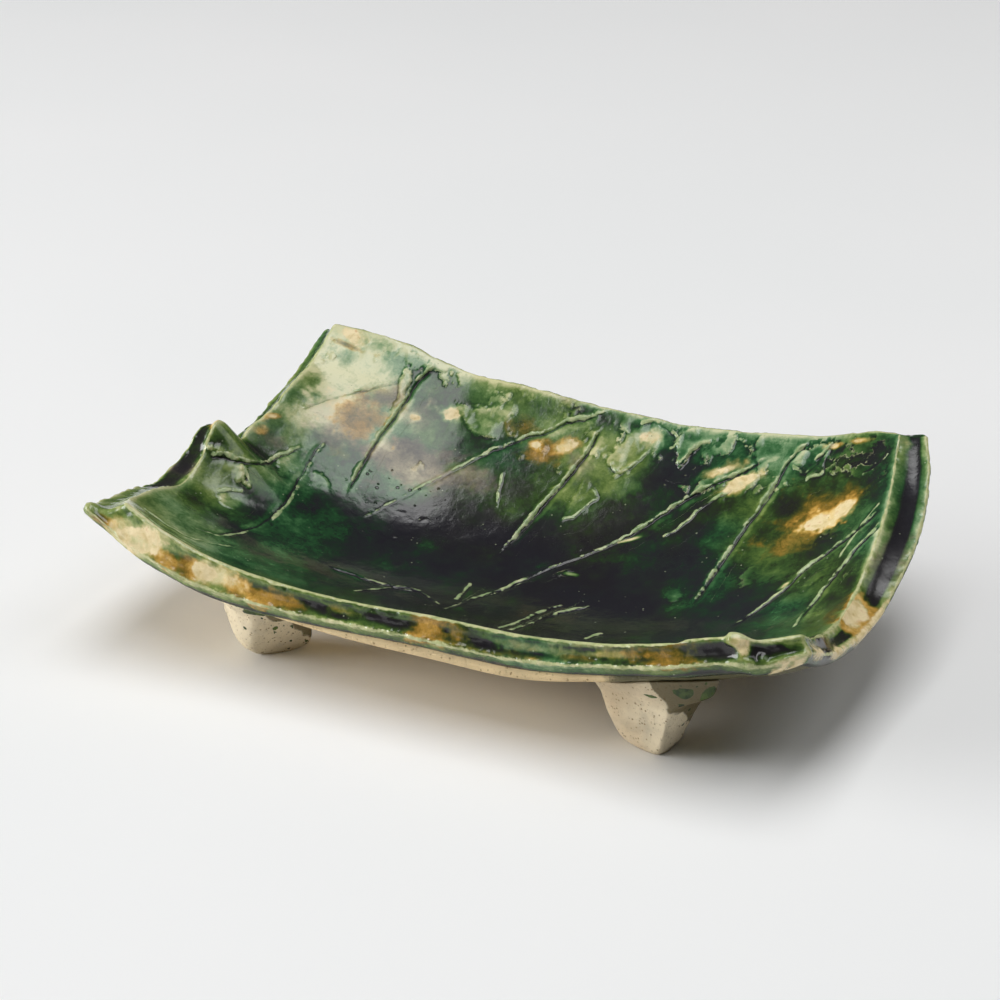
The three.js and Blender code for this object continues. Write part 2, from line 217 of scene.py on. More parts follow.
# Seeded noise
def hashed(ix, iy, iz, seed):
    h = (ix.astype(np.uint32) * np.uint32(374761393) + iy.astype(np.uint32) * np.uint32(668265263)
         + iz.astype(np.uint32) * np.uint32(2147483647) + np.uint32(seed * 1013904223 % 4294967296))
    h = (h ^ (h >> np.uint32(13))) * np.uint32(1274126177)
    h = (h ^ (h >> np.uint32(16))) * np.uint32(2246822519)
    return ((h ^ (h >> np.uint32(15))).astype(np.float64) / 4294967295.0) * 2 - 1


def noise(points, size, seed, octaves=3, roughness=0.5):
    """Fractal value noise from -1 to 1, with its largest lumps of the given size."""
    total = np.zeros(len(points))
    amplitude, norm, scale = 1.0, 0.0, 1.0 / size
    for octave in range(octaves):
        p = points * scale + 17.3 * octave
        base = np.floor(p)
        f = p - base
        f = f * f * f * (f * (f * 6 - 15) + 10)
        i = base.astype(np.int64)
        value = 0
        for dx in (0, 1):
            for dy in (0, 1):
                for dz in (0, 1):
                    w = (f[:, 0] if dx else 1 - f[:, 0]) * (f[:, 1] if dy else 1 - f[:, 1]) \
                        * (f[:, 2] if dz else 1 - f[:, 2])
                    value = value + w * hashed(i[:, 0] + dx, i[:, 1] + dy, i[:, 2] + dz, seed + octave)
        total += amplitude * value
        norm += amplitude
        amplitude *= roughness
        scale *= 2.03
    return total / norm * 1.6


def smoothstep(low, high, x):
    t = np.clip((x - low) / (high - low), 0, 1)
    return t * t * (3 - 2 * t)


def bell(x, width):
    return np.exp(-(x / width) ** 2)


# The camera, at the photograph's angle
AZIMUTH, ELEVATION = math.radians(25), math.radians(25)
DISTANCE = 1010.0
FOCAL_PX = 2500.0
PHOTO_SIZE = 1000
TARGET = np.array([-25.0, 28.0, 40.0])     # before the plate is centred
BACKWARD = np.array([math.sin(AZIMUTH) * math.cos(ELEVATION), -math.cos(AZIMUTH) * math.cos(ELEVATION),
                     math.sin(ELEVATION)])
RIGHTWARD = np.array([math.cos(AZIMUTH), math.sin(AZIMUTH), 0.0])
TOWARDS = np.array([math.sin(AZIMUTH), -math.cos(AZIMUTH), 0.0])
UPWARD = np.cross(BACKWARD, RIGHTWARD)
EYE = TARGET + DISTANCE * BACKWARD


def pixels(points):
    """Where points show in the photograph."""
    d = points - EYE
    depth = -(d @ BACKWARD)
    right, up = FOCAL_PX * (d @ RIGHTWARD) / depth, FOCAL_PX * (d @ UPWARD) / depth
    return np.stack([PHOTO_SIZE / 2 + right, PHOTO_SIZE / 2 - up], -1)


# Grid and rings of the glazed skin
CELL = 0.5
COLUMNS = int(2 * HALF_LENGTH / CELL)
ROWS = int(2 * HALF_DEPTH / CELL)
WIDEST_LIP, WIDEST_FACE, WIDEST_HEM = 13, 5, 8
LIP_ROWS = int(WIDEST_LIP / CELL)
FACE_ROWS = max(3, int(WIDEST_FACE / CELL))
HEM_ROWS = max(4, int(WIDEST_HEM / CELL))


def border(columns, rows):
    """Edge names, places and grid vertices of the border, anticlockwise from the front left corner."""
    def at(i, j):
        return j * (columns + 1) + i

    i, j = np.arange(columns), np.arange(rows)
    return [("front", 2 * i / columns - 1, at(i, 0)), ("right", 2 * j / rows - 1, at(columns, j)),
            ("back", 1 - 2 * i / columns, at(columns - i, rows)), ("left", 1 - 2 * j / rows, at(0, rows - j))]


def around(function, stops):
    return np.concatenate([function(edge, place) for edge, place, _ in stops])


def grid_faces(columns, rows, start=0):
    j, i = np.mgrid[0:rows, 0:columns]
    a = (start + j * (columns + 1) + i).ravel()
    return np.stack([a, a + 1, a + columns + 2, a + columns + 1], -1)


def band_faces(first, second):
    return np.stack([first, second, np.roll(second, -1), np.roll(first, -1)], -1)


def unit(vectors):
    return vectors / np.linalg.norm(vectors, axis=-1, keepdims=True)


grid_u, grid_v = np.meshgrid(np.linspace(-1, 1, COLUMNS + 1), np.linspace(-1, 1, ROWS + 1))
stops = border(COLUMNS, ROWS)
loop = np.concatenate([s[2] for s in stops])
loop_side = np.concatenate([np.full(len(s[1]), k) for k, s in enumerate(stops)])
loop_place = np.concatenate([s[1] for s in stops])
# The arrises of the torn lip, and the line where the glaze of the face ends
INNER_ARRIS = around(lambda e, p: top(*on_edge(e, p)), stops)
OFFSET = around(lip_offset, stops)
OUTER_ARRIS = INNER_ARRIS + OFFSET
UNDER_ARRIS = around(lambda e, p: under_arris(e, p, 0), stops)
lip_length = np.linalg.norm(OFFSET, axis=1)
face_length = np.linalg.norm(UNDER_ARRIS - OUTER_ARRIS, axis=1)
along = unit(OFFSET)


def off_lip(vectors):
    return vectors - (vectors * along).sum(1)[:, None] * along


hollow = unit(off_lip(np.tile([0.0, 0, -1], (len(INNER_ARRIS), 1))) + off_lip(-unit(OFFSET * (1, 1, 0))))
at_front = loop_side == 0
hem_reach = 4.5 + 2.2 * noise(UNDER_ARRIS, 24, 71, 3)
hem_reach += at_front * (-3.4 + 8 * smoothstep(.5, .8, loop_place))
hem_reach = np.clip(hem_reach, 1.2, 14)
# where the front edge sags, the glaze ends in a crease over bare clay
TO_CREASE = np.array([0, 2.6, .4])
tucked = smoothstep(.4, 1.4, around(sag, stops))[:, None]
hem_u = np.where(at_front | (loop_side == 2), loop_place, np.where(loop_side == 1, 1.0, -1.0))
hem_v = np.where(at_front, -1.0, np.where(loop_side == 2, 1.0, loop_place))

# Rings of vertices past the inner arris: which part of the edge, and the share of its width
rings = [(part, k / rows) for part, rows in (("lip", LIP_ROWS), ("face", FACE_ROWS), ("hem", HEM_ROWS))
         for k in range(1, rows + 1)]
sheet = [top(grid_u, grid_v).reshape(-1, 3)]
inwards = np.minimum((1 - np.abs(grid_u)) * HALF_LENGTH, (1 - np.abs(grid_v)) * HALF_DEPTH).ravel()
past_inner = [-inwards]                                     # mm beyond the inner arris
past_outer = [-inwards - 99]                                # mm beyond the outer arris
hem_share = [np.zeros(len(inwards))]
faces = [grid_faces(COLUMNS, ROWS)]
count, previous = len(inwards), loop
for part, share in rings:
    if part == "lip":
        hollowed = LIP_HOLLOW * 4 * share * (1 - share) * lip_length
        points = INNER_ARRIS + OFFSET * share + hollow * hollowed[:, None]
        past_inner.append(share * lip_length)
        past_outer.append((share - 1) * lip_length)
    elif part == "face":
        points = OUTER_ARRIS + (UNDER_ARRIS - OUTER_ARRIS) * share
        past_inner.append(lip_length + share * face_length)
        past_outer.append(share * face_length)
    else:
        past_u, past_v = share * hem_reach / HALF_LENGTH, share * hem_reach / HALF_DEPTH
        points = under(hem_u * (1 - past_u), hem_v * (1 - past_v))
        points = points + tucked * (UNDER_ARRIS + TO_CREASE * share - points)
        past_inner.append(lip_length + face_length + share * hem_reach)
        past_outer.append(face_length + share * hem_reach)
    hem_share.append(np.full(len(INNER_ARRIS), share if part == "hem" else 0.0))
    sheet.append(points)
    index = count + np.arange(len(INNER_ARRIS))
    faces.append(band_faces(previous, index))
    previous, count = index, count + len(INNER_ARRIS)

SKIN = np.concatenate(sheet)
SKIN_FACES = np.concatenate(faces)
PAST_INNER, PAST_OUTER, HEM = (np.concatenate(a) for a in (past_inner, past_outer, hem_share))
grid_size = len(inwards)
is_top = np.arange(len(SKIN)) < grid_size
side_of = np.concatenate([np.full(grid_size, -1)] + [loop_side] * len(rings))
place_of = np.concatenate([np.zeros(grid_size)] + [loop_place] * len(rings))
SHEET_XY = np.concatenate([np.stack([grid_u.ravel() * HALF_LENGTH, grid_v.ravel() * HALF_DEPTH], -1)]
                      + [INNER_ARRIS[:, :2]] * len(rings))
on_lip_zone = (~is_top) & (PAST_OUTER <= 0)


class Net:
    """Smoothing and normals over a mesh of quads."""

    def __init__(self, faces, size):
        self.faces, self.size = faces, size
        pairs = np.concatenate([faces[:, [0, 1]], faces[:, [1, 2]], faces[:, [2, 3]], faces[:, [3, 0]]])
        self.a = np.concatenate([pairs[:, 0], pairs[:, 1]])
        self.b = np.concatenate([pairs[:, 1], pairs[:, 0]])
        self.degree = np.bincount(self.a, minlength=size).astype(float)

    def mean(self, values):
        if values.ndim == 1:
            return np.bincount(self.a, values[self.b], self.size) / self.degree
        return np.stack([self.mean(values[:, k]) for k in range(values.shape[1])], -1)

    def smooth(self, values, times, share=0.6):
        for _ in range(times):
            values = values + share * (self.mean(values) - values)
        return values

    def normals(self, points):
        f = self.faces
        n = np.cross(points[f[:, 2]] - points[f[:, 0]], points[f[:, 3]] - points[f[:, 1]])
        out = np.zeros((self.size, 3))
        for k in range(4):
            for axis in range(3):
                out[:, axis] += np.bincount(f[:, k], n[:, axis], self.size)
        return out / np.maximum(np.linalg.norm(out, axis=1, keepdims=True), 1e-12)


net = Net(SKIN_FACES, len(SKIN))
SKIN = net.smooth(SKIN, 8)
OUTWARD = net.normals(SKIN)
SKIN = SKIN + OUTWARD * (GLAZE_LIFT - (GLAZE_LIFT + HEM_SINK) * smoothstep(.5, 1, HEM))[:, None]

# Marks on the surface. Each place is a pixel of the photograph, laid on the surface that shows there
pixel_of = pixels(SKIN)
facing = (OUTWARD @ BACKWARD) > 0.03


class Finder:
    """Finds the vertex that shows at a pixel."""

    def __init__(self, vertices):
        self.vertices = vertices
        self.tree = KDTree(len(vertices))
        for k, (x, y) in zip(vertices, pixel_of[vertices]):
            self.tree.insert((x, y, 0), k)
        self.tree.balance()

    def lay(self, pixel_points):
        return np.array([self.tree.find((x, y, 0))[1] for x, y in pixel_points])


on_top = Finder(np.flatnonzero(is_top & facing & (SHEET_XY[:, 1] > -HALF_DEPTH * 0.97)))
on_rim = Finder(np.flatnonzero(~is_top & facing))


def fine_path(path, step=5.0):
    """More points along a path, on a smooth curve."""
    path = np.array(path, float)
    if len(path) == 2:
        return path
    out = []
    for k in range(len(path) - 1):
        p0, p1, p2 = path[max(k - 1, 0)], path[k], path[k + 1]
        p3 = path[min(k + 2, len(path) - 1)]
        n = max(2, int(np.linalg.norm(p2 - p1) / step))
        t = np.linspace(0, 1, n, endpoint=False)[:, None]
        out.append(0.5 * (2 * p1 + (p2 - p0) * t + (2 * p0 - 5 * p1 + 4 * p2 - p3) * t**2
                          + (3 * p1 - p0 - 3 * p2 + p3) * t**3))
    out.append(path[-1:])
    return np.concatenate(out)


def beside(path, reach):
    """Top vertices near a path: the distance to its left side, and the share of its length."""
    xy = SHEET_XY[path]
    within = (SHEET_XY > xy.min(0) - reach) & (SHEET_XY < xy.max(0) + reach)
    near = np.flatnonzero(is_top & within.all(1))
    best = np.full(len(near), 1e9)
    side = np.zeros(len(near))
    share = np.zeros(len(near))
    lengths = np.linalg.norm(np.diff(xy, axis=0), axis=1)
    total = max(lengths.sum(), 1e-6)
    done = 0.0
    for k in range(len(xy) - 1):
        if lengths[k] < 1e-6:
            continue
        t = (xy[k + 1] - xy[k]) / lengths[k]
        r = SHEET_XY[near] - xy[k]
        run = np.clip(r @ t, 0, lengths[k])
        d = np.linalg.norm(r - run[:, None] * t, axis=1)
        closer = d < best
        best[closer] = d[closer]
        side[closer] = (np.sign(t[0] * r[:, 1] - t[1] * r[:, 0]) * d)[closer]
        share[closer] = ((done + run) / total)[closer]
        done += lengths[k]
    keep = best < reach
    return near[keep], side[keep], share[keep]


# Incised strokes: pixels along each, depth and half width of the groove in mm, height and half width of its
# burr, the side that the burr is on, and the share of it all that is left at the far end
STROKES = [
    ([(437, 366), (419, 380), (411, 393), (397, 414), (378, 440), (362, 466), (352, 484),
      (346, 499)], 1.5, .65, 1.1, .65, -1, .8),
    ([(611, 412), (590, 418), (567, 423), (551, 431), (525, 439), (498, 449), (470, 463), (441, 478),
      (400, 500), (358, 522)], .9, .5, .7, .5, -1, .15),
    ([(604, 426), (595, 440), (584, 458), (566, 480), (549, 499), (534, 516), (516, 536),
      (498, 556)], 1.8, .75, 1.3, .75, -1, .9),
    ([(775, 456), (755, 466), (738, 475), (712, 487), (690, 498), (664, 514), (643, 528), (625, 539),
      (595, 552), (560, 565), (535, 575), (505, 589), (476, 601)], 1.3, .65, 1.0, .6, -1, .45),
    ([(813, 441), (800, 452), (789, 462), (777, 483), (761, 507), (744, 530), (729, 553), (716, 571),
      (704, 589), (692, 606)], 1.8, .75, 1.3, .75, -1, .9),
    ([(882, 508), (857, 530), (838, 545), (820, 558), (800, 574), (783, 591), (755, 612),
      (727, 630)], 1.4, .7, 1.1, .7, -1, .4),
    ([(884, 520), (870, 535), (857, 548), (842, 567), (828, 584), (816, 600), (804, 614),
      (795, 628)], 1.2, .65, .8, .5, -1, .6),
    ([(300, 410), (325, 401), (350, 394), (378, 387), (402, 382)], .4, .4, .25, .4, 1, .8),
    ([(325, 438), (315, 452), (297, 483), (285, 503), (270, 518), (250, 529), (225, 534), (205, 531),
      (188, 524)], .9, .7, .6, .5, 1, .9),
    ([(209, 455), (225, 458), (242, 462), (262, 464), (282, 456), (303, 447)], 1.3, .6, .9, .6, 1, .8),
    ([(592, 607), (560, 613), (535, 622), (512, 631)], .8, .6, .7, .45, -1, .8),
    ([(566, 605), (545, 611), (520, 622), (500, 629)], .6, .5, .6, .4, -1, .8),
    ([(473, 583), (466, 591), (458, 600)], .5, .4, .6, .45, -1, 1),
    ([(527, 583), (505, 589), (480, 597), (445, 610)], .4, .5, .35, .5, -1, .6),
    ([(328, 566), (350, 573), (376, 582), (400, 588), (424, 592)], 1.0, 1.5, .1, .8, 1, .8),
    ([(352, 592), (380, 589), (410, 588), (440, 606)], .8, 2.0, .1, .8, 1, .8),
    ([(733, 492), (716, 500), (700, 510), (690, 522), (662, 539)], .3, .6, .6, .5, -1, .7),
    ([(888, 452), (880, 462), (862, 474)], .8, .6, .6, .5, 1, 1),
    ([(834, 443), (826, 453), (815, 462)], .9, .7, .7, .6, -1, 1),
    ([(505, 472), (500, 492), (498, 508)], .2, .4, .5, .4, -1, .8),
    ([(880, 500), (868, 515), (846, 545), (836, 560)], .5, .6, .5, .5, 1, .8),
    ([(608, 462), (613, 472), (621, 474), (632, 467), (646, 456), (651, 448)], .3, .5, .7, .6, 1, .9),
    ([(675, 463), (681, 465), (689, 456), (702, 446), (712, 443)], .3, .5, .7, .6, 1, .9),
    ([(560, 521), (574, 518), (592, 504), (600, 498), (592, 486)], .2, .5, .5, .6, 1, .8),
    ([(805, 482), (816, 478), (825, 474), (823, 462)], .3, .5, .7, .6, 1, .9),
    ([(640, 425), (655, 423), (668, 430), (676, 440), (668, 447)], .3, .5, .7, .7, 1, .8),
    ([(790, 466), (800, 474), (812, 470), (822, 458)], .2, .5, .5, .5, 1, .8),
    ([(242, 464), (245, 476), (249, 487)], .5, .5, .8, .6, 1, .8),
    ([(218, 493), (230, 491), (244, 494)], .3, .5, .6, .7, 1, .8),
    ([(128, 512), (150, 528), (178, 541), (206, 551)], .5, .6, .5, .4, 1, .6),
    ([(140, 506), (165, 524), (196, 540), (236, 548)], .3, .5, .4, .35, 1, .6),
    ([(584, 640), (596, 636), (604, 634)], .5, .6, .7, .5, 1, 1),
]
# Torn scraps that stand proud: pixels round each outline, height in mm
SCRAPS = [
    ([(404, 371), (411, 372), (409, 384), (405, 396), (399, 406), (393, 415), (386, 428), (381, 436),
      (384, 424), (390, 411), (396, 399), (400, 386)], .9),
    ([(457, 399), (461, 405), (484, 407), (506, 406), (509, 402), (516, 412), (508, 420), (503, 436),
      (480, 436), (464, 420)], .75),
    ([(690, 497), (700, 484), (715, 474), (736, 467), (741, 472), (722, 484), (705, 492)], 1.3),
    ([(709, 503), (722, 496), (736, 487), (756, 474), (752, 484), (738, 497), (722, 502)], .8),
    ([(208, 449), (230, 449), (236, 455), (240, 462), (226, 458)], 1.2),
    ([(226, 460), (243, 464), (250, 488), (238, 482), (230, 470)], 1.1),
    ([(217, 493), (229, 491), (244, 495), (245, 504), (233, 508), (221, 504)], .3),
    ([(788, 463), (801, 452), (831, 443), (833, 447), (823, 463), (824, 476), (805, 483),
      (807, 467)], 1.0),
    ([(675, 463), (681, 466), (688, 456), (701, 447), (712, 444), (722, 436), (720, 428), (699, 427),
      (681, 435)], .9),
    ([(608, 462), (614, 474), (622, 476), (632, 468), (645, 456), (652, 450), (650, 440), (662, 436),
      (676, 428), (650, 422), (625, 440)], .5),
    ([(560, 521), (573, 519), (592, 504), (601, 500), (592, 489), (585, 478), (570, 500)], .3),
    ([(555, 575), (572, 569), (586, 574), (572, 579)], .5),
    ([(660, 590), (676, 588), (682, 596), (670, 603)], .35),
    ([(744, 570), (756, 564), (762, 572), (748, 586), (740, 584)], .4),
    ([(312, 470), (324, 474), (330, 488), (318, 500), (308, 494)], .45),
    ([(274, 460), (290, 450), (303, 452), (296, 470), (280, 476)], .35),
    ([(828, 520), (846, 508), (862, 506), (858, 518), (838, 532), (822, 534)], .45),
    ([(796, 586), (810, 577), (829, 567), (824, 575), (806, 588)], .4),
    ([(414, 466), (420, 464), (424, 470), (417, 473)], .5),
]
# Bare and amber spots on the top: pixel, half sizes in mm, turn in degrees, how bare, how amber
SPOTS = [
    (352, 337, 8, 3.5, -30, .9, .5), (346, 358, 6.5, 5.5, 0, .45, .05), (348, 346, 8, 1.5, 0, 0, .7),
    (360, 417, 9, 8, 40, .1, .75), (382, 397, 9, 4.5, 20, 0, .5), (340, 453, 5, 2.5, 0, 0, .5),
    (451, 414, 4, 3.6, 0, 1, .35), (416, 418, 2.8, 2, 10, 1, .3), (536, 444, 3.2, 2.4, 0, .9, .9),
    (541, 453, 6, 5, 0, .2, 1), (568, 446, 7, 2.6, 30, .75, .7), (528, 430, 7, 4, 0, 0, .5),
    (414, 468, 2, 2, 0, .6, 0), (649, 437, 5, 2.5, 0, .9, .4), (722, 470, 8, 2.4, 25, .7, .55),
    (738, 485, 8.5, 3, 35, 1, .6), (838, 513, 8, 4.6, 22, 1, .6), (816, 522, 7, 5, 10, 1, .6),
    (824, 510, 14, 8, 18, 0, 1), (798, 540, 10, 7, 15, 0, .8), (835, 446, 3, 1.6, 0, .8, .8),
    (859, 441, 4, 1.6, 0, .6, .7), (571, 574, 3, 1.2, 10, .4, 0), (786, 584, 2.5, 1.2, 50, .8, .3),
    (625, 540, 6, .9, 30, .6, .4), (272, 416, 4, 1.5, 50, .7, .8), (260, 430, 3, 1.5, 50, .5, .6),
    (655, 441, 3, 4, 20, .6, .3),
]
# The same on the torn lips
RIM_SPOTS = [
    (140, 540, 16, 7, 0, 1, .35), (118, 528, 6, 4, 0, .9, .5), (104, 521, 5, 2, 0, 0, .9),
    (168, 560, 6, 3, 0, .5, .9), (205, 571, 8, 5, 0, .95, .45), (222, 578, 9, 4, 0, .9, .5),
    (190, 566, 5, 4, 0, .1, 1), (236, 586, 6, 3, 0, .2, .9), (270, 597, 9, 3, 0, .3, 1),
    (290, 602, 7, 2.6, 0, .1, .9), (427, 628, 8, 4.5, 0, .4, 1), (455, 634, 4, 3, 0, 0, .8),
    (664, 656, 10, 3, 0, .1, 1), (217, 423, 4, 3, 0, .8, .9), (741, 645, 4, 3.5, 0, .7, .4),
    (88, 510, 3, 4, 0, .4, .1), (340, 610, 6, 2, 0, .2, .5), (900, 440, 5, 4, 0, .2, .3),
    (530, 648, 14, 1.6, 0, .3, .4), (610, 655, 16, 1.6, 0, .3, .5),
]
# Where the glaze lies thicker or thinner: pixel, half sizes in mm, turn in degrees, change
DEPTHS = [
    (345, 366, 26, 15, -20, -.44), (380, 368, 12, 9, 0, -.08), (400, 447, 9, 8, 0, .16),
    (424, 483, 9, 6, 10, -.16), (305, 415, 12, 8, 45, -.26), (335, 412, 16, 12, 10, -.24),
    (375, 440, 12, 9, 10, -.14), (470, 378, 20, 6, -12, -.14), (474, 414, 12, 9, 0, -.16),
    (430, 472, 13, 7, 20, -.10), (225, 500, 7, 4, 0, -.22), (288, 463, 8, 6, 0, -.16),
    (575, 500, 7, 9, 50, -.18), (735, 585, 9, 7, 40, -.20), (760, 555, 8, 5, 45, -.14),
    (675, 595, 3.5, 2.5, 0, -.24), (575, 520, 5, 3, 0, -.1), (800, 458, 12, 4, 20, -.12),
    (640, 460, 9, 6, 0, -.10), (205, 478, 8, 8, 40, -.16), (700, 440, 14, 5, 0, -.10),
    (610, 440, 6, 8, 50, -.12), (445, 530, 60, 10, 12, .20), (560, 590, 45, 14, 0, .24),
    (250, 545, 30, 7, -20, .16), (268, 505, 13, 6, 40, .26), (640, 515, 22, 9, 30, .14),
    (700, 525, 14, 8, 50, .14), (787, 510, 7, 5, 45, .22), (870, 462, 11, 5, 20, .16),
    (570, 388, 24, 3, -16, .12), (408, 440, 6, 8, 50, .12), (470, 440, 8, 6, 20, .1),
    (660, 480, 16, 6, 25, .14), (840, 590, 16, 6, 50, .12), (770, 600, 10, 5, 45, .1),
    (525, 475, 10, 8, 40, .08),
]
# Brown-grey glaze, in places also painted sheen: pixel, half sizes in mm, turn in degrees, how much
TINTS_AND_SHEEN = [
    (405, 462, 26, 14, 10, 1.1), (455, 480, 18, 9, 20, .9), (345, 425, 16, 20, 0, .9),
    (270, 440, 14, 6, 20, .5), (390, 395, 12, 8, 30, .8), (420, 420, 10, 18, 30, .7),
    (560, 395, 12, 3, -16, .5), (580, 468, 6, 14, 35, .5), (620, 520, 18, 5, 35, .35),
    (300, 480, 10, 10, 0, .4),
]
RIM_TINTS_AND_SHEEN = [
    (890, 560, 9, 22, 0, .7), (180, 470, 16, 5, 0, .9), (600, 645, 26, 3, 0, .6),
    (700, 648, 14, 3, 0, .6),
]
# Lumps and dents on the lips, such as the torn curl near the right of the front: pixel, radius, height in mm
LUMPS = [
    (736, 640, 3.0, 1.7), (744, 656, 3.2, 1.5), (757, 648, 3.0, -.9), (730, 636, 1.5, .9),
    (741, 648, 1.3, -.5), (751, 663, 1.9, 1.1), (762, 659, 2.0, 1.2), (749, 655, 1.4, -.4),
    (676, 645, 2.2, -.7), (87, 504, 3.6, 1.9), (820, 638, 4.8, .6),
]
STROKE_REACH = 6.5                    # mm beside a stroke that it can change
BARE_CORNER = (854, 613)              # pixel of the corner where hardly any glaze stayed
DARK_RUN = (818, 637, 7.0, 5.8, 0)    # pixel, half sizes and turn of a run of dark blue glaze
GAS_PITS = (392, 488, 22, 13, 12)     # the same for the field where gas escaped and left pits

HEIGHT = np.zeros(len(SKIN))        # relief over the smooth skin, mm
BARE = np.zeros(len(SKIN))          # 1 where hardly any glaze hides the clay
IRON = np.zeros(len(SKIN))          # 1 where the glaze broke amber
POOL = np.zeros(len(SKIN))          # extra glaze that ran together
MAUVE_AND_SHEEN = np.zeros(len(SKIN))         # 1 where it turned brown-grey, in places also painted sheen
STROKE = np.full(len(SKIN), 9.0)    # mm from the nearest incised stroke, positive on its burr side
CUT = np.zeros(len(SKIN))           # how deep that stroke is, from 0 to 1
BURR = np.zeros(len(SKIN))          # how much of its burr shows, from 0 to 1
warp = noise(SKIN, 34, 81, 4, .55)
mottle = noise(SKIN, 12, 82, 4, .6)
edge_warp = noise(SKIN, 7, 83, 3)
wobble = noise(SKIN, 5.0, 3, 3)
chatter = noise(SKIN, 1.6, 4, 2)
rng = np.random.default_rng(7)

# Torn flakes scattered where the slab was beaten: along the back rim and the two ends
from_back = HALF_DEPTH - SHEET_XY[:, 1]
rim_layer = smoothstep(15, 3, from_back + 3 * wobble) * smoothstep(-128, -100, SHEET_XY[:, 0])
back_rim = smoothstep(50, 70, SHEET_XY[:, 1] + 8 * wobble) * (.5 + .5 * smoothstep(-40, 10, SHEET_XY[:, 0]))
left_end = smoothstep(-100, -122, SHEET_XY[:, 0]) * smoothstep(40, 20, SHEET_XY[:, 1]) * .15
right_end = smoothstep(92, 118, SHEET_XY[:, 0]) * .35
scatter = np.maximum.reduce([back_rim, left_end, right_end, np.full(len(SKIN), .10)]) * is_top
field = noise(SKIN * (1, 1.2, 1), 12, 31, 6, .70) + .55 * rim_layer
FLAKE = 6.0 * (field - .86 + .50 * scatter)           # mm inside the edge of the nearest flake
# how proud that flake stands
TORN = np.clip(.25 + scatter, 0, 1) * is_top * smoothstep(0, 2, -PAST_INNER)
TORN *= np.clip(.55 + .9 * noise(SKIN, 9, 32, 3), 0, 1)
TALL = .40 * TORN


def depth_inside(points, ring):
    """How far points lie inside a closed outline, negative outside."""
    inside = np.zeros(len(points), bool)
    gap = np.full(len(points), 1e9)
    for a, b in zip(ring, np.roll(ring, -1, 0)):
        if np.linalg.norm(b - a) < 1e-6:
            continue
        crossing = (b[0] - a[0]) * (points[:, 1] - a[1]) / (b[1] - a[1] + 1e-12) + a[0]
        inside ^= ((a[1] > points[:, 1]) != (b[1] > points[:, 1])) & (points[:, 0] < crossing)
        t = np.clip(((points - a) @ (b - a)) / ((b - a) @ (b - a)), 0, 1)
        gap = np.minimum(gap, np.linalg.norm(points - a - t[:, None] * (b - a), axis=1))
    return np.where(inside, gap, -gap)


def lay_scrap(number, outline, height):
    """A flake that lifts at one end and sinks into the slab at the other."""
    ring = SHEET_XY[on_top.lay(fine_path(outline + outline[:1], 6))]
    middle = ring.mean(0)
    reach = np.linalg.norm(ring - middle, axis=1).max() + 4
    near = np.flatnonzero(is_top & (np.linalg.norm(SHEET_XY - middle, axis=1) < reach))
    depth_in = depth_inside(SHEET_XY[near], ring) + 1.9 * noise(SKIN[near], 4.6, 200 + number, 5, .8)
    lean = unit(rng.normal(size=2))
    lifted = smoothstep(-.6, .7, (SHEET_XY[near] - middle) @ lean / (reach - 4) + .7 * edge_warp[near])
    over = (depth_in > -2.5) & ((np.abs(depth_in) < np.abs(FLAKE[near])) | (depth_in > 0))
    at = near[over]
    FLAKE[at] = depth_in[over]
    TORN[at] = (lifted * min(1, height))[over]
    TALL[at] = (.8 * height * lifted)[over]


for number, (outline, height) in enumerate(SCRAPS):
    lay_scrap(number, outline, height)
HEIGHT += TALL * smoothstep(-.25, .5, FLAKE) + .25 * TALL * bell(FLAKE - .6, .5)
POOL += TORN * (.08 * bell(FLAKE + .9, .8) - .10 * smoothstep(0, .6, FLAKE)) - .14 * rim_layer * (FLAKE > 0)


def cut_stroke(number, path, depth, half, burr, burr_half, burr_side, left_over):
    """A groove with the clay that was pushed out of it standing on one side."""
    near, side, share = beside(on_top.lay(fine_path(path)), STROKE_REACH)
    side = burr_side * side + .16 * wobble[near] + .12 * chatter[near]
    strength = 1 + (left_over - 1) * smoothstep(.1, .9, share)
    taper = smoothstep(0, .12, share) * smoothstep(0, .18, 1 - share) * strength
    rag = np.clip(.70 + 1.3 * noise(SKIN[near], 7.5, 100 + number, 5, .74), 0, 1.4) \
        * smoothstep(0, .06, share) * smoothstep(0, .05, 1 - share)
    rag *= .35 + .65 * strength
    bevel = 3.6 * half
    groove = np.where(side < 0, np.clip(1 + side / bevel, 0, 1) ** 2.6, np.clip(1 - side / .4, 0, 1)) * taper
    # the burr is ragged, and steeper towards the groove
    past = side - .45 - .5 * burr_half
    ridge = np.exp(-(past / np.where(past < 0, .45, burr_half * (.6 + 1.1 * rag))) ** 2) * rag
    HEIGHT[near] += .55 * burr * ridge - .6 * depth * groove
    closer = np.abs(side) < np.abs(STROKE[near])
    at = near[closer]
    STROKE[at] = side[closer]
    CUT[at] = (taper * min(1, .15 + depth / 1.7) * (.65 + .5 * wobble[near]))[closer]
    BURR[at] = (np.clip(rag, 0, 1.2) * min(1, .35 + burr / 1.2))[closer]


for number, stroke in enumerate(STROKES):
    cut_stroke(number, *stroke)
STROKE = np.clip(STROKE, -6, 6)
STROKE[~is_top] = 6

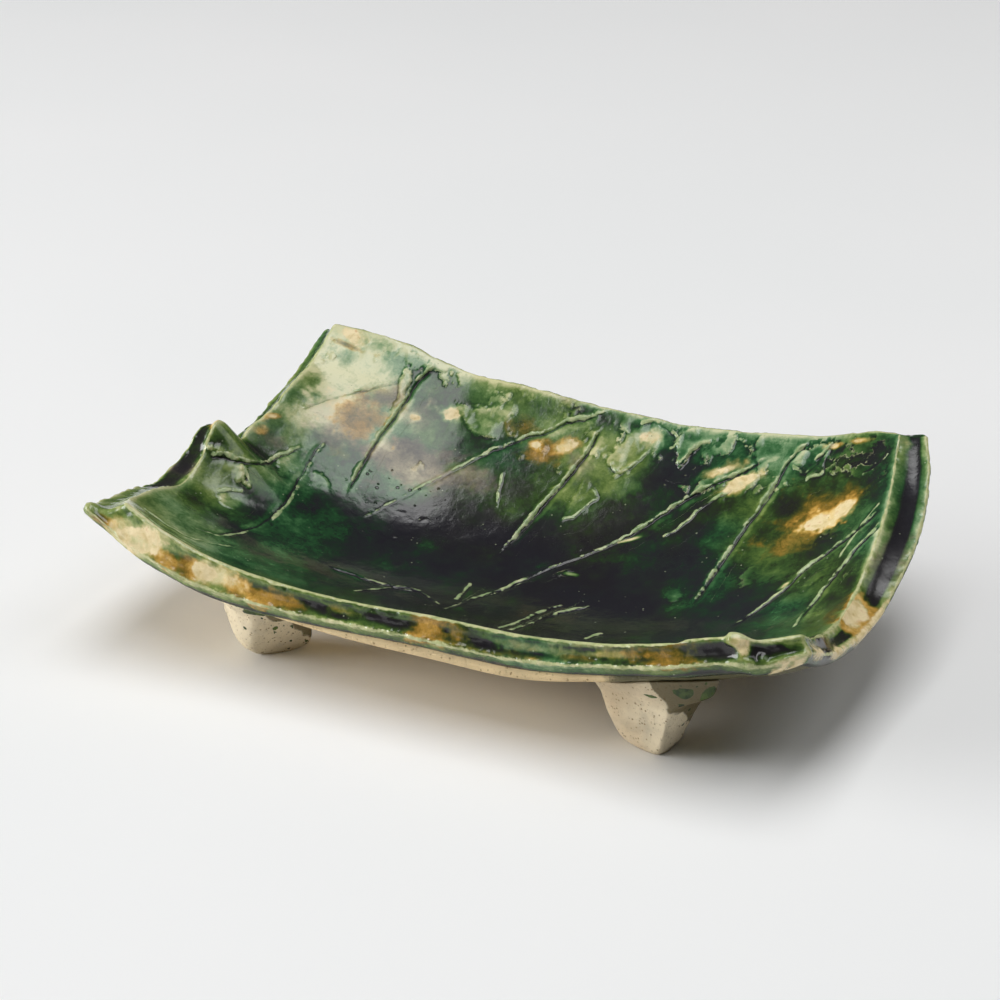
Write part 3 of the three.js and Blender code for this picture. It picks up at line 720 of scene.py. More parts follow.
# Beaten relief, rougher on the torn faces, and the arrises
HEIGHT += is_top * (.12 * noise(SKIN, 16, 41, 2) + .02 * noise(SKIN, 3, 42, 2))
torn_face = ~is_top * (HEM == 0) * (side_of != 1)
HEIGHT += torn_face * (.38 * noise(SKIN, 15, 51, 3) + .16 * noise(SKIN, 4.0, 52, 3))
HEIGHT += (side_of == 1) * (HEM == 0) * .12 * noise(SKIN * (1, .4, 1), 9, 53, 2)
inner_line = bell(PAST_INNER - .1, .8)
HEIGHT += inner_line * (.35 * noise(SKIN, 7, 61, 3) + .1)
front_lip = (side_of == 0) & ~is_top
HEIGHT += front_lip * (.45 * bell(PAST_OUTER + .3, .9) - .25 * bell(PAST_OUTER + 2.6, 1.2))
HEIGHT += ~is_top * bell(PAST_OUTER + .4, 1.1) * .55 * noise(SKIN, 3.4, 66, 3, .6)
HEIGHT += ~is_top * bell(PAST_INNER - .6, .9) * .30 * noise(SKIN, 3.0, 67, 3, .6)

for x, y, radius, lump_height in LUMPS:
    k = on_rim.lay([(x, y)])[0]
    d = np.linalg.norm(SKIN - SKIN[k], axis=1) * (1 + .25 * edge_warp)
    HEIGHT += lump_height * np.exp(-(d / radius) ** 2.5)

HEIGHT = net.smooth(HEIGHT, 1)
SKIN = SKIN + OUTWARD * HEIGHT[:, None]

# How thick the glaze lies
outward_now = net.normals(SKIN)
soft = net.smooth(SKIN, 14)
fine_convex = ((SKIN - soft) * outward_now).sum(1)
softer = net.smooth(soft, 36)
wide_convex = ((soft - softer) * outward_now).sum(1)
rise = SKIN[:, 2] - FLOOR_HEIGHT

thick = .50 + .31 * smoothstep(20, 3, rise + 8 * warp) - .06 * smoothstep(26, 50, rise)
thick += (.17 * warp + .15 * mottle + .05 * smoothstep(-20, 40, SHEET_XY[:, 0])
          - .07 * smoothstep(-50, -80, SHEET_XY[:, 0]))
thick -= .62 * np.clip(fine_convex, -.25, .34) + .45 * np.clip(wide_convex, -.4, .5) * is_top
thick += .55 * np.clip(POOL, -.4, 1.2)


def blot(x, y, half_a, half_b, turn, finder, candidates, ragged=.28):
    """How far each vertex lies from a spot's middle, where 1 is the spot's edge."""
    k = finder.lay([(x, y)])[0]
    near = candidates[np.abs(SKIN[candidates] - SKIN[k]).max(1) < 2.6 * max(half_a, half_b)]
    d = SKIN[near] - SKIN[k]
    outward = OUTWARD[k]
    axis_a = unit(np.cross([0, 1.0, 0], outward))
    axis_b = np.cross(outward, axis_a)
    t = math.radians(turn)
    a = (d @ axis_a) * math.cos(t) + (d @ axis_b) * math.sin(t)
    b = -(d @ axis_a) * math.sin(t) + (d @ axis_b) * math.cos(t)
    r = np.sqrt((a / half_a) ** 2 + (b / half_b) ** 2 + (d @ outward / max(half_a, half_b)) ** 2 * .3)
    return near, r * (1 + ragged * (edge_warp[near] + .4 * chatter[near]))


# Glaze on the top and the lips
top_all, rim_all = np.flatnonzero(is_top), np.flatnonzero(~is_top)
for x, y, a, b, turn, change in DEPTHS:
    near, r = blot(x, y, a, b, turn, on_top, top_all, .35)
    thick[near] += change * np.exp(-r ** 2.4) * (1 + .5 * mottle[near])
rim_noise = noise(SKIN, 5, 64, 3)
patch = noise(SKIN * (1, .7, .7), 17, 91, 4, .6)
share_out = PAST_INNER / np.maximum(PAST_INNER - PAST_OUTER, 1e-6)

# Front lip: light by the inner arris, dark streaks along its middle, olive and cream below
front = front_lip & on_lip_zone
across = share_out + .16 * noise(SKIN * (.5, 1, 1), 9, 93, 3)
streak = noise(SKIN * (.22, .8, .8), 4.4, 94, 4, .6) + .3
dark = smoothstep(-.15, .2, streak) * bell(across - .46, .17) * smoothstep(-.6, -.42, place_of)
thick += front * (.15 - .20 * bell(across - .24, .12) + .60 * dark - .18 * bell(across - .86, .14))
front_face = (side_of == 0) & (PAST_OUTER > 0) & (HEM == 0)
thick += front_face * (-.16 * smoothstep(3.6, 2.0, PAST_OUTER) + .35 * smoothstep(3.2, 4.4, PAST_OUTER))
rusty = smoothstep(.0, .5, noise(SKIN * (1, .6, .6), 21, 92, 3))
IRON = np.maximum(IRON, front * .7 * rusty * bell(across - .78, .25))

# Right lip: light by the inner arris, a dark channel that widens to the front, light again by the outer arris
right = (side_of == 1) & on_lip_zone
broad = smoothstep(.75, .0, place_of)
start = .32 - .10 * broad + .04 * patch
channel = smoothstep(start, start + .14, share_out) * smoothstep(.80, .68, share_out)
thick += right * (-.20 * smoothstep(.42, .1, share_out) + (.40 + .08 * broad) * channel
                  - .20 * smoothstep(.72, .84, share_out)) * smoothstep(-.75, -.4, place_of)

# Left lip: navy between the low front and the peak, green towards the back
left = (side_of == 3) & on_lip_zone
navy = smoothstep(-.55, -.42, place_of) * smoothstep(.02, -.08, place_of)
thick += left * (.34 * navy * smoothstep(.08, .34, across) * smoothstep(1.0, .80, share_out)
                 + .10 * bell(share_out - .5, .2) * (1 - navy))
thick += ((side_of == 2) & on_lip_zone) * .24 + (PAST_OUTER > 0) * (side_of == 1) * .16 + (HEM > 0) * .12

# The corner at the right of the front: hardly any glaze, amber round it
corner_at = SKIN[on_rim.lay([BARE_CORNER])[0]]
from_corner = np.linalg.norm((SKIN - corner_at) * (1, .75, 1), axis=1) + 2.0 * rim_noise + 2.0 * patch
from_corner += 99 * (side_of == 0)
BARE = np.maximum(BARE, ~is_top * .85 * smoothstep(8.5, 4, from_corner))
corner_iron = .95 * bell(from_corner - 8, 3.4) + .6 * smoothstep(9, 5, from_corner) * (rim_noise > .0)
IRON = np.maximum(IRON, corner_iron)
thick += (.22 - thick) * smoothstep(12, 8, from_corner) * ~is_top
outer_width = 1.3 + 2.8 * smoothstep(.0, -.6, place_of)
outer_right = (side_of == 1) * bell(PAST_OUTER + .2, outer_width) * smoothstep(.3, -.1, place_of)
outer_right += (side_of == 0) * smoothstep(-1.5, 0, PAST_OUTER) * smoothstep(.90, .95, place_of) * (HEM < .5)
BARE = np.maximum(BARE, np.clip(outer_right * (.7 + .5 * rim_noise), 0, .95))

# Spots, the barest laid last
for spots, finder, candidates in ((SPOTS, on_top, top_all), (RIM_SPOTS, on_rim, rim_all)):
    for x, y, a, b, turn, bare, iron in sorted(spots, key=lambda spot: spot[5]):
        near, r = blot(x, y, a, b, turn, finder, candidates, .4)
        worn = smoothstep(1.6, .3, r)
        thick[near] += (.44 - .42 * bare - thick[near]) * worn
        laid_bare = .9 * bare * smoothstep(1.1, .55, r) * (.86 + .34 * rim_noise[near])
        BARE[near] = np.maximum(BARE[near] * (1 - worn), laid_bare)
        IRON[near] = np.maximum(IRON[near], iron * smoothstep(2.2, .6, r))

# A run of dark blue glaze over the corner
near, r = blot(*DARK_RUN, on_rim, np.arange(len(SKIN)), .25)
for field in (BARE, IRON, MAUVE_AND_SHEEN):
    field[near] *= smoothstep(.8, 1.2, r)
thick[near] += (1.0 - thick[near]) * smoothstep(1.25, .85, r)

# Brown-grey stretches, in places painted sheen, pits and the olive cast
for tints_and_sheen, finder, candidates in ((TINTS_AND_SHEEN, on_top, top_all), (RIM_TINTS_AND_SHEEN, on_rim, rim_all)):
    for x, y, a, b, turn, amount in tints_and_sheen:
        near, r = blot(x, y, a, b, turn, finder, candidates, .4)
        MAUVE_AND_SHEEN[near] = np.maximum(MAUVE_AND_SHEEN[near], amount * np.exp(-r ** 2.2))
near, r = blot(*GAS_PITS, on_top, top_all, .3)
PITTED = np.zeros(len(SKIN))
PITTED[near] = smoothstep(1.2, .5, r)
IRON = np.clip(IRON + .2 * smoothstep(.45, .95, noise(SKIN, 18, 84, 3)) * (thick < .7), 0, 1)
thick = np.clip(thick, 0, 1)
BARE = np.clip(BARE, 0, 1)
left_front = smoothstep(-70, -115, SHEET_XY[:, 0]) * smoothstep(30, 0, SHEET_XY[:, 1])
yellow = (noise(SKIN, 46, 85, 3) + .5 * left_front + .3 * smoothstep(60, 120, SHEET_XY[:, 0])
          + .35 * ~is_top + .6 * front_lip)
OLIVE = smoothstep(-.20, .75, yellow)
INNER = np.clip(PAST_INNER, -6, 6)
OUTER = np.clip(PAST_OUTER, -6, 6)
side_all = side_of.copy()
side_all[:grid_size] = np.stack([1 + grid_v, 1 - grid_u, 1 - grid_v, 1 + grid_u]).reshape(4, -1).argmin(0)


def by_side(front, right, back, left):
    return np.array([front, right, back, left])[side_all]


# Half widths of the pale lines where the glaze broke over the two arrises, mm
breaks = np.clip(.35 + 1.2 * noise(SKIN, 8, 63, 5, .7), 0, 1.4)
INNER_LINE = by_side(.34, .34, .10, .30) * breaks
OUTER_LINE = by_side(.40, .42, .0, .20) * np.clip(.4 + 1.1 * noise(SKIN, 5, 65, 5, .7), 0, 1.4)

# Meshes
MM = 1000                                # in a metre
slab_low, slab_high = (np.array(corner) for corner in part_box("plate_slab"))
outline = np.concatenate([OUTER_ARRIS, UNDER_ARRIS, INNER_ARRIS])
CENTRE = (outline.min(0) + outline.max(0)) / 2 - MM * (slab_low + slab_high) / 2
CENTRE[2] = 0


def new_mesh(name, points, faces, node, attributes):
    """A mesh of quads with one number per vertex for each attribute, in place of a CAD node."""
    mesh = bpy.data.meshes.new(name)
    points = (np.asarray(points) - CENTRE) / MM
    mesh.vertices.add(len(points))
    mesh.vertices.foreach_set("co", points.astype(np.float32).ravel())
    mesh.loops.add(faces.size)
    mesh.loops.foreach_set("vertex_index", faces.ravel().astype(np.int32))
    mesh.polygons.add(len(faces))
    mesh.polygons.foreach_set("loop_start", np.arange(0, faces.size, 4, dtype=np.int32))
    mesh.polygons.foreach_set("loop_total", np.full(len(faces), 4, np.int32))
    mesh.update()
    mesh.validate()
    for key, values in attributes.items():
        mesh.attributes.new(key, "FLOAT", "POINT").data.foreach_set("value", np.asarray(values, np.float32))
    mesh.polygons.foreach_set("use_smooth", np.ones(len(faces), bool))
    obj = bpy.data.objects.new(name, mesh)
    bpy.context.scene.collection.objects.link(obj)
    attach(obj, "root")
    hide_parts(node)
    return obj


glaze = new_mesh("glazed_skin", SKIN, SKIN_FACES, "glaze_coat", {
    "thick": thick, "bare": BARE, "iron": IRON, "olive": OLIVE, "stroke": STROKE, "cut": CUT, "burr": BURR,
    "flake": np.clip(FLAKE, -6, 6), "torn": TORN, "inner": INNER, "outer": OUTER, "inner_line": INNER_LINE,
    "outer_line": OUTER_LINE, "mauve_and_sheen": MAUVE_AND_SHEEN, "pitted": PITTED})

# The bare slab under the glaze
SLAB_COLUMNS, SLAB_ROWS = ((230, 140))
HIDDEN_DEPTH = 3.4                       # mm from the glazed top down to the slab's hidden one
EDGE_TUCK = 3.5                          # mm that its edge lies in from the torn lip, and below it
slab_u, slab_v = np.meshgrid(np.linspace(-1, 1, SLAB_COLUMNS + 1), np.linspace(-1, 1, SLAB_ROWS + 1))
slab_stops = border(SLAB_COLUMNS, SLAB_ROWS)
slab_loop = np.concatenate([s[2] for s in slab_stops])
below = under(slab_u, slab_v).reshape(-1, 3)
hidden = (top(slab_u * .97, slab_v * .95) - HIDDEN_DEPTH * normal(slab_u * .97, slab_v * .95)).reshape(-1, 3)
edge_ring = around(lambda e, p: top(*on_edge(e, p)) + lip_offset(e, p) * .5, slab_stops)
inward = unit(around(lip_offset, slab_stops) * (-1, -1, 0))
edge_ring = edge_ring + inward * EDGE_TUCK + np.array([0, 0, -EDGE_TUCK])
crease = around(lambda e, p: under_arris(e, p, 0), slab_stops) + inward * 1.1 + np.array([0, 0, .5])
belly = (crease * (1, 1, .55) + below[slab_loop] * (1, 1, .45)) * (.5, .5, 1) - inward * .5
size = len(below)
ring = 2 * size + np.arange(len(edge_ring))
slab_points = np.concatenate([below, hidden, edge_ring, crease, belly])
around_once = len(ring)
slab_faces = np.concatenate([
    grid_faces(SLAB_COLUMNS, SLAB_ROWS)[:, ::-1], grid_faces(SLAB_COLUMNS, SLAB_ROWS, size),
    band_faces(size + slab_loop, ring), band_faces(ring, ring + around_once),
    band_faces(ring + around_once, ring + 2 * around_once), band_faces(ring + 2 * around_once, slab_loop)])
slab_normals = Net(slab_faces, len(slab_points)).normals(slab_points)
rough = .35 * noise(slab_points, 26, 301, 3) + .16 * noise(slab_points, 5, 302, 3)
rough[size:-around_once] = 0
rough[:size] *= smoothstep(1, .93, np.maximum(np.abs(slab_u), np.abs(slab_v)).ravel())
from_middle = np.zeros(len(slab_points))
from_middle[:size] = np.maximum(np.abs(slab_u), np.abs(slab_v)).ravel()
from_middle[size:] = 1
# a glaze run over the right end of the underside, darkened there also as painted shade under the plate's
# right end
washed_and_shaded = smoothstep(58, 78, slab_points[:, 0] + 9 * noise(slab_points, 22, 303, 4)) \
    * smoothstep(.50, .74, from_middle + .10 * noise(slab_points, 14, 304, 4))
slab = new_mesh("bare_slab", slab_points + slab_normals * rough[:, None], slab_faces, "plate_slab",
                {"root": washed_and_shaded, "splash": 0 * washed_and_shaded})

# Feet
FOOT_PINCH = 1.6
FOOT_PROFILE = [(0, .30), (.05, .42), (.16, .52), (.42, .68), (.72, .84), (1, 1.0)]
FOOT_AROUND, FOOT_LEVELS = ((144, 84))
SEAT_GAP = .35
PRESS_HEIGHT = 11.0
# Middle, half width, half depth, turn, drag of the root, width of the pad, how far the pad leans right and
# towards the viewer, how far the wash of glaze runs down the right side, where it also paints shade, how
# strong the spatter is there, and the thumb presses: (right, towards, up), offset from the foot's middle at
# the press height, softness
FEET = {
    "foot_front_left": dict(
        cx=-86.5, cy=-62.4, half_width=22.1, half_depth=15.5, turn=8, drag=-.10, pad=1.45, lean=(4.4, -5.0),
        wash_and_shade=.80, spatter=.9,
        presses=[((.30, .82, -.48), 8.2, .3), ((-.80, .60, .0), 11.5, 1.0), ((-.95, -.2, -.3), 15, 1.5)]),
    "foot_front_right": dict(
        cx=84.0, cy=-63.6, half_width=25.1, half_depth=15.5, turn=-6, drag=.18, pad=1.25, lean=(-4.0, -2.0),
        wash_and_shade=1.35, spatter=.6,
        presses=[((-.62, .72, -.16), 7.2, .8), ((.70, .62, -.30), 6.8, 1.0), ((.95, .0, -.4), 15.5, 2)]),
    "foot_back_left": dict(
        cx=-86.0, cy=60.9, half_width=23.0, half_depth=16.0, turn=-5, drag=.10, pad=1.2, lean=(0, 0),
        wash_and_shade=0, spatter=0,
        presses=[((.45, -.80, -.35), 8.0, 1.2), ((-.75, -.6, -.1), 9.5, 1.6)]),
    "foot_back_right": dict(
        cx=86.0, cy=60.0, half_width=23.0, half_depth=16.0, turn=9, drag=.08, pad=1.2, lean=(0, 0),
        wash_and_shade=0, spatter=0,
        presses=[((-.5, -.80, -.30), 8.0, 1.2), ((.8, -.5, -.2), 9.5, 1.6), ((.7, .7, -.2), 10, 2)]),
}
# Splashes of glaze on the front feet: pixel, half sizes in mm
SPLASHES = [
    (684, 694, 3.6, 2.4), (708, 697, 3.4, 5), (681, 705, 1.1, 1.1), (225, 617, 1.4, 2.0),
    (256, 612, 4.6, 1.6), (275, 628, 1.3, 1.2), (288, 616, 5, 1.4), (236, 606, .9, .7),
    (262, 618, .8, .7), (245, 628, .8, .6), (652, 697, 2.4, .7),
]


def foot_rings(cx, cy, half_width, half_depth, turn, drag, pad, tilt):
    """Rings of points from the pad up to the slab, and the mean height of the seat."""
    angle = np.linspace(0, 2 * math.pi, FOOT_AROUND, endpoint=False)
    level = np.linspace(0, 1, FOOT_LEVELS)
    heights, shares = np.array(FOOT_PROFILE).T
    share = np.interp(level, heights, shares)
    share = np.convolve(np.pad(share, 3, mode="edge"), np.ones(7) / 7, "valid")[:, None]
    level = level[:, None]
    share = share * (1 + (pad - 1) * (1 - level) ** 1.5)
    cosine, sine, turned = np.cos(angle), np.sin(angle), math.radians(turn)
    pinched = (np.abs(cosine) ** FOOT_PINCH + np.abs(sine) ** FOOT_PINCH) ** (-1 / FOOT_PINCH)
    x = half_width * share * pinched * cosine * (1 - drag * share**2 * cosine)
    y = half_depth * share * pinched * sine
    x, y = cx + x * math.cos(turned) - y * math.sin(turned), cy + x * math.sin(turned) + y * math.cos(turned)
    x, y = x + tilt[0] * (1 - level), y + tilt[1] * (1 - level)
    seat = under_height(x, y) + SEAT_GAP
    return np.stack([x, y, level * seat], -1).reshape(-1, 3), seat.mean()


def foot_skin(points):
    """The foot's points and quads, with the pad and the hidden seat closed by smaller rings."""
    index = np.arange(FOOT_LEVELS * FOOT_AROUND).reshape(FOOT_LEVELS, FOOT_AROUND)
    skin = [band_faces(index[k + 1], index[k]) for k in range(FOOT_LEVELS - 1)]
    for end, is_seat in ((index[0], False), (index[-1], True)):
        last, middle = end, points[end].mean(0)
        for shrink in (.66, .33, .02):
            new = len(points) + np.arange(FOOT_AROUND)
            points = np.concatenate([points, middle + (points[end] - middle) * shrink])
            skin.append(band_faces(new, last) if is_seat else band_faces(last, new))
            last = new
    return points, np.concatenate(skin)


def pressed(points, middle, presses, held):
    """Pushes in what stands past each thumb press."""
    for (right, towards, up), offset, softness in presses:
        n = unit(right * RIGHTWARD + towards * TOWARDS + np.array([0, 0, up]))
        past = (points - middle) @ n - offset
        push = softness * np.log1p(np.exp(np.clip(past / softness, -30, 30)))
        points = points - n * (push * held)[:, None]
    return points


def splashed(points, normals, seed):
    """1 where a splash of glaze landed."""
    seen = pixels(points)
    shown = np.flatnonzero(normals @ BACKWARD > .05)
    ragged = noise(points, 3, seed, 3)
    splash = np.zeros(len(points))
    for x, y, wide, high in SPLASHES:
        gap = ((seen[shown] - (x, y)) ** 2).sum(1)
        if gap.min() < 16:
            at = points[shown[np.argmin(gap)]]
            r = np.linalg.norm((points - at) / (wide, wide, high), axis=1) * (1 + .3 * ragged)
            splash = np.maximum(splash, smoothstep(1.25, .75, r))
    return splash


def pinched_foot(number, name, cx, cy, half_width, half_depth, turn, drag, pad, lean, wash_and_shade, spatter, presses):
    """A foot as one mesh: drawn up in rings, pinched by the presses, then lumpy and splashed."""
    tilt = lean[0] * RIGHTWARD + lean[1] * TOWARDS
    middle = np.array([cx, cy, PRESS_HEIGHT]) + .5 * tilt
    points, seat_height = foot_rings(cx, cy, half_width, half_depth, turn, drag, pad, tilt)
    points, skin = foot_skin(points)
    foot_net = Net(skin, len(points))
    height = points[:, 2] / seat_height
    held = smoothstep(1.0, .74, height)            # the root stays on the slab
    points = pressed(points, middle, presses, held)
    lift = (.5 * noise(points, 17, 400 + number, 2) + .34 * noise(points, 5, 410 + number, 3)
            + .14 * noise(points, 1.8, 415 + number, 3, .6))
    lift = (lift * smoothstep(0, 4, points[:, 2]) * held)[:, None]
    points = foot_net.smooth(points + foot_net.normals(points) * lift, 4)
    points[:, 2] = np.maximum(points[:, 2], 0)
    points[:FOOT_AROUND, 2] = 0
    shaded = np.clip((points - middle) @ RIGHTWARD / half_width, -.6, 1)
    if spatter:
        specks = smoothstep(.66, .82, noise(points, 2.2, 450 + number, 2)) * smoothstep(-.1, .3, shaded)
        splash = np.maximum(splashed(points, foot_net.normals(points), 430 + number), specks * spatter)
    else:
        splash = smoothstep(.35, .6, noise(points, 6, 440 + number, 2) + .5 * smoothstep(.5, 1, height) - .3)
    # the glaze wash at the root, pushed down the right side, away from the left lamp, as painted shade
    root = smoothstep(.80, 1.0, height + .12 * noise(points, 8, 420 + number, 2) + wash_and_shade * shaded)
    return new_mesh(name.replace("foot", "pinched_foot"), points, skin, name,
                    {"splash": splash, "root": root})


feet = [pinched_foot(number, name, **FEET[name]) for number, name in enumerate(FEET)]


# Materials
def srgb(r, g, b):
    def one(c):
        c /= 255
        return c / 12.92 if c <= .04045 else ((c + .055) / 1.055) ** 2.4
    return (one(r), one(g), one(b), 1)


class Nodes:
    def __init__(self, name):
        self.material = bpy.data.materials.new(name)
        self.material.use_nodes = True
        self.tree = self.material.node_tree
        self.tree.nodes.clear()
        self.out = self.add("ShaderNodeOutputMaterial")
        self.coords = self.add("ShaderNodeTexCoord")

    def add(self, kind, **settings):
        node = self.tree.nodes.new(kind)
        for key, value in settings.items():
            setattr(node, key, value)
        return node

    def set(self, x, socket):
        if isinstance(x, (int, float, tuple)):
            socket.default_value = x
        else:
            self.tree.links.new(x, socket)

    def math(self, op, a, b=0.0, clamp=False):
        node = self.add("ShaderNodeMath", operation=op, use_clamp=clamp)
        self.set(a, node.inputs[0])
        self.set(b, node.inputs[1])
        return node.outputs[0]

    def plus(self, a, b, clamp=False):
        return self.math("ADD", a, b, clamp)

    def minus(self, a, b):
        return self.math("SUBTRACT", a, b)

    def times(self, a, b):
        return self.math("MULTIPLY", a, b)

    def larger(self, a, b):
        return self.math("MAXIMUM", a, b)

    def noise(self, scale, detail=4, roughness=.55, distortion=0.0, offset=0.0):
        shift = self.add("ShaderNodeVectorMath", operation="ADD")
        self.set(self.coords.outputs["Object"], shift.inputs[0])
        shift.inputs[1].default_value = (offset, offset * .7, -offset)
        node = self.add("ShaderNodeTexNoise")
        self.set(shift.outputs[0], node.inputs["Vector"])
        node.inputs["Scale"].default_value = scale
        node.inputs["Detail"].default_value = detail
        node.inputs["Roughness"].default_value = roughness
        node.inputs["Distortion"].default_value = distortion
        return node.outputs["Fac"]

    def spread(self, amount, *args, **kw):
        """Noise about zero."""
        return self.times(self.minus(self.noise(*args, **kw), .5), amount)

    def voronoi(self, scale):
        node = self.add("ShaderNodeTexVoronoi")
        self.set(self.coords.outputs["Object"], node.inputs["Vector"])
        node.inputs["Scale"].default_value = scale
        return node.outputs["Distance"]

    def ramp(self, factor, stops):
        node = self.add("ShaderNodeValToRGB")
        elements = node.color_ramp.elements
        while len(elements) < len(stops):
            elements.new(.5)
        for element, (position, color) in zip(elements, stops):
            element.position = position
        for element, (position, color) in zip(elements, stops):
            element.color = srgb(*color)
        self.set(factor, node.inputs[0])
        return node.outputs["Color"]

    def span(self, x, low, high, to_low=0.0, to_high=1.0):
        node = self.add("ShaderNodeMapRange", clamp=True)
        node.interpolation_type = "SMOOTHSTEP"
        self.set(x, node.inputs["Value"])
        for key, v in (("From Min", low), ("From Max", high), ("To Min", to_low), ("To Max", to_high)):
            node.inputs[key].default_value = v
        return node.outputs["Result"]

    def mix(self, factor, a, b, blend="MIX"):
        node = self.add("ShaderNodeMix", data_type="RGBA", blend_type=blend)
        self.set(factor, node.inputs[0])
        self.set(a, node.inputs[6])
        self.set(b, node.inputs[7])
        return node.outputs[2]

    def attribute(self, name):
        return self.add("ShaderNodeAttribute", attribute_name=name).outputs["Fac"]

    def bump(self, height, strength, distance, normal=None):
        node = self.add("ShaderNodeBump")
        node.inputs["Strength"].default_value = strength
        node.inputs["Distance"].default_value = distance
        self.set(height, node.inputs["Height"])
        if normal is not None:
            self.set(normal, node.inputs["Normal"])
        return node.outputs["Normal"]

    def principled(self, color, roughness, normal=None, ior=1.5):
        node = self.add("ShaderNodeBsdfPrincipled")
        self.set(color, node.inputs["Base Color"])
        self.set(roughness, node.inputs["Roughness"])
        node.inputs["IOR"].default_value = ior
        if normal is not None:
            self.set(normal, node.inputs["Normal"])
        self.set(node.outputs[0], self.out.inputs["Surface"])


# Colours from thin to thick glaze, or over the grain of bare clay: position, (red, green, blue)
EMERALD_GLAZE = [
    (0.0, (206, 208, 168)), (.14, (166, 182, 140)), (.28, (112, 146, 104)), (.42, (64, 108, 66)),
    (.56, (36, 76, 44)), (.68, (30, 50, 36)), (.80, (36, 40, 41)), (1.0, (34, 33, 39))
]
OLIVE_GLAZE = [
    (0.0, (210, 206, 156)), (.14, (172, 176, 122)), (.28, (124, 142, 78)), (.42, (84, 108, 50)),
    (.56, (54, 78, 36)), (.68, (40, 54, 28)), (.80, (38, 41, 33)), (1.0, (34, 32, 34))
]
# brown-grey glaze, pale where it also paints part of the milky sheen over the left of the dish
MAUVE_AND_SHEEN_GLAZE = [
    (0.0, (214, 204, 172)), (.16, (182, 168, 138)), (.32, (142, 126, 106)), (.48, (104, 92, 80)),
    (.64, (66, 58, 54)), (.80, (40, 36, 38)), (1.0, (29, 27, 32))
]
AMBER_GLAZE = [
    (0.0, (240, 220, 168)), (.12, (228, 194, 120)), (.24, (194, 152, 72)), (.36, (146, 114, 46)),
    (.48, (94, 84, 30)), (.60, (58, 62, 28)), (.74, (38, 42, 28)), (1.0, (28, 26, 28))
]
CREAM_CLAY = [
    (.25, (184, 158, 98)), (.42, (222, 202, 150)), (.58, (238, 220, 176)), (.75, (204, 160, 104))
]
PALE_BREAK = [
    (.3, (150, 160, 104)), (.5, (190, 194, 142)), (.7, (212, 206, 162))
]
PUSHED_CLAY = [
    (.3, (112, 142, 88)), (.5, (164, 182, 132)), (.7, (204, 206, 160))
]
PALE_FLECK = srgb(196, 206, 170)
DARK_SPECK = srgb(16, 20, 18)
PIT_BLACK = srgb(12, 12, 12)
# The two clays, and the washes of glaze over them, which also paint shade on the feet's right sides and the
# underside's right end
SLAB_CLAY, SLAB_WASH_AND_SHADE = (228, 204, 158), srgb(52, 60, 28)
FOOT_CLAY, FOOT_WASH_AND_SHADE = (226, 212, 182), srgb(92, 80, 42)
TOAST, SAND, IRON_SPECK, FINE_SPECK = (
    srgb(*tone) for tone in ((186, 138, 84), (150, 124, 84), (116, 90, 54), (160, 134, 92)))
SPLASH_GREEN = [(.35, (26, 50, 22)), (.65, (84, 104, 48))]
PAPER = [(.3, (243, 244, 244)), (.7, (246, 246, 246))]


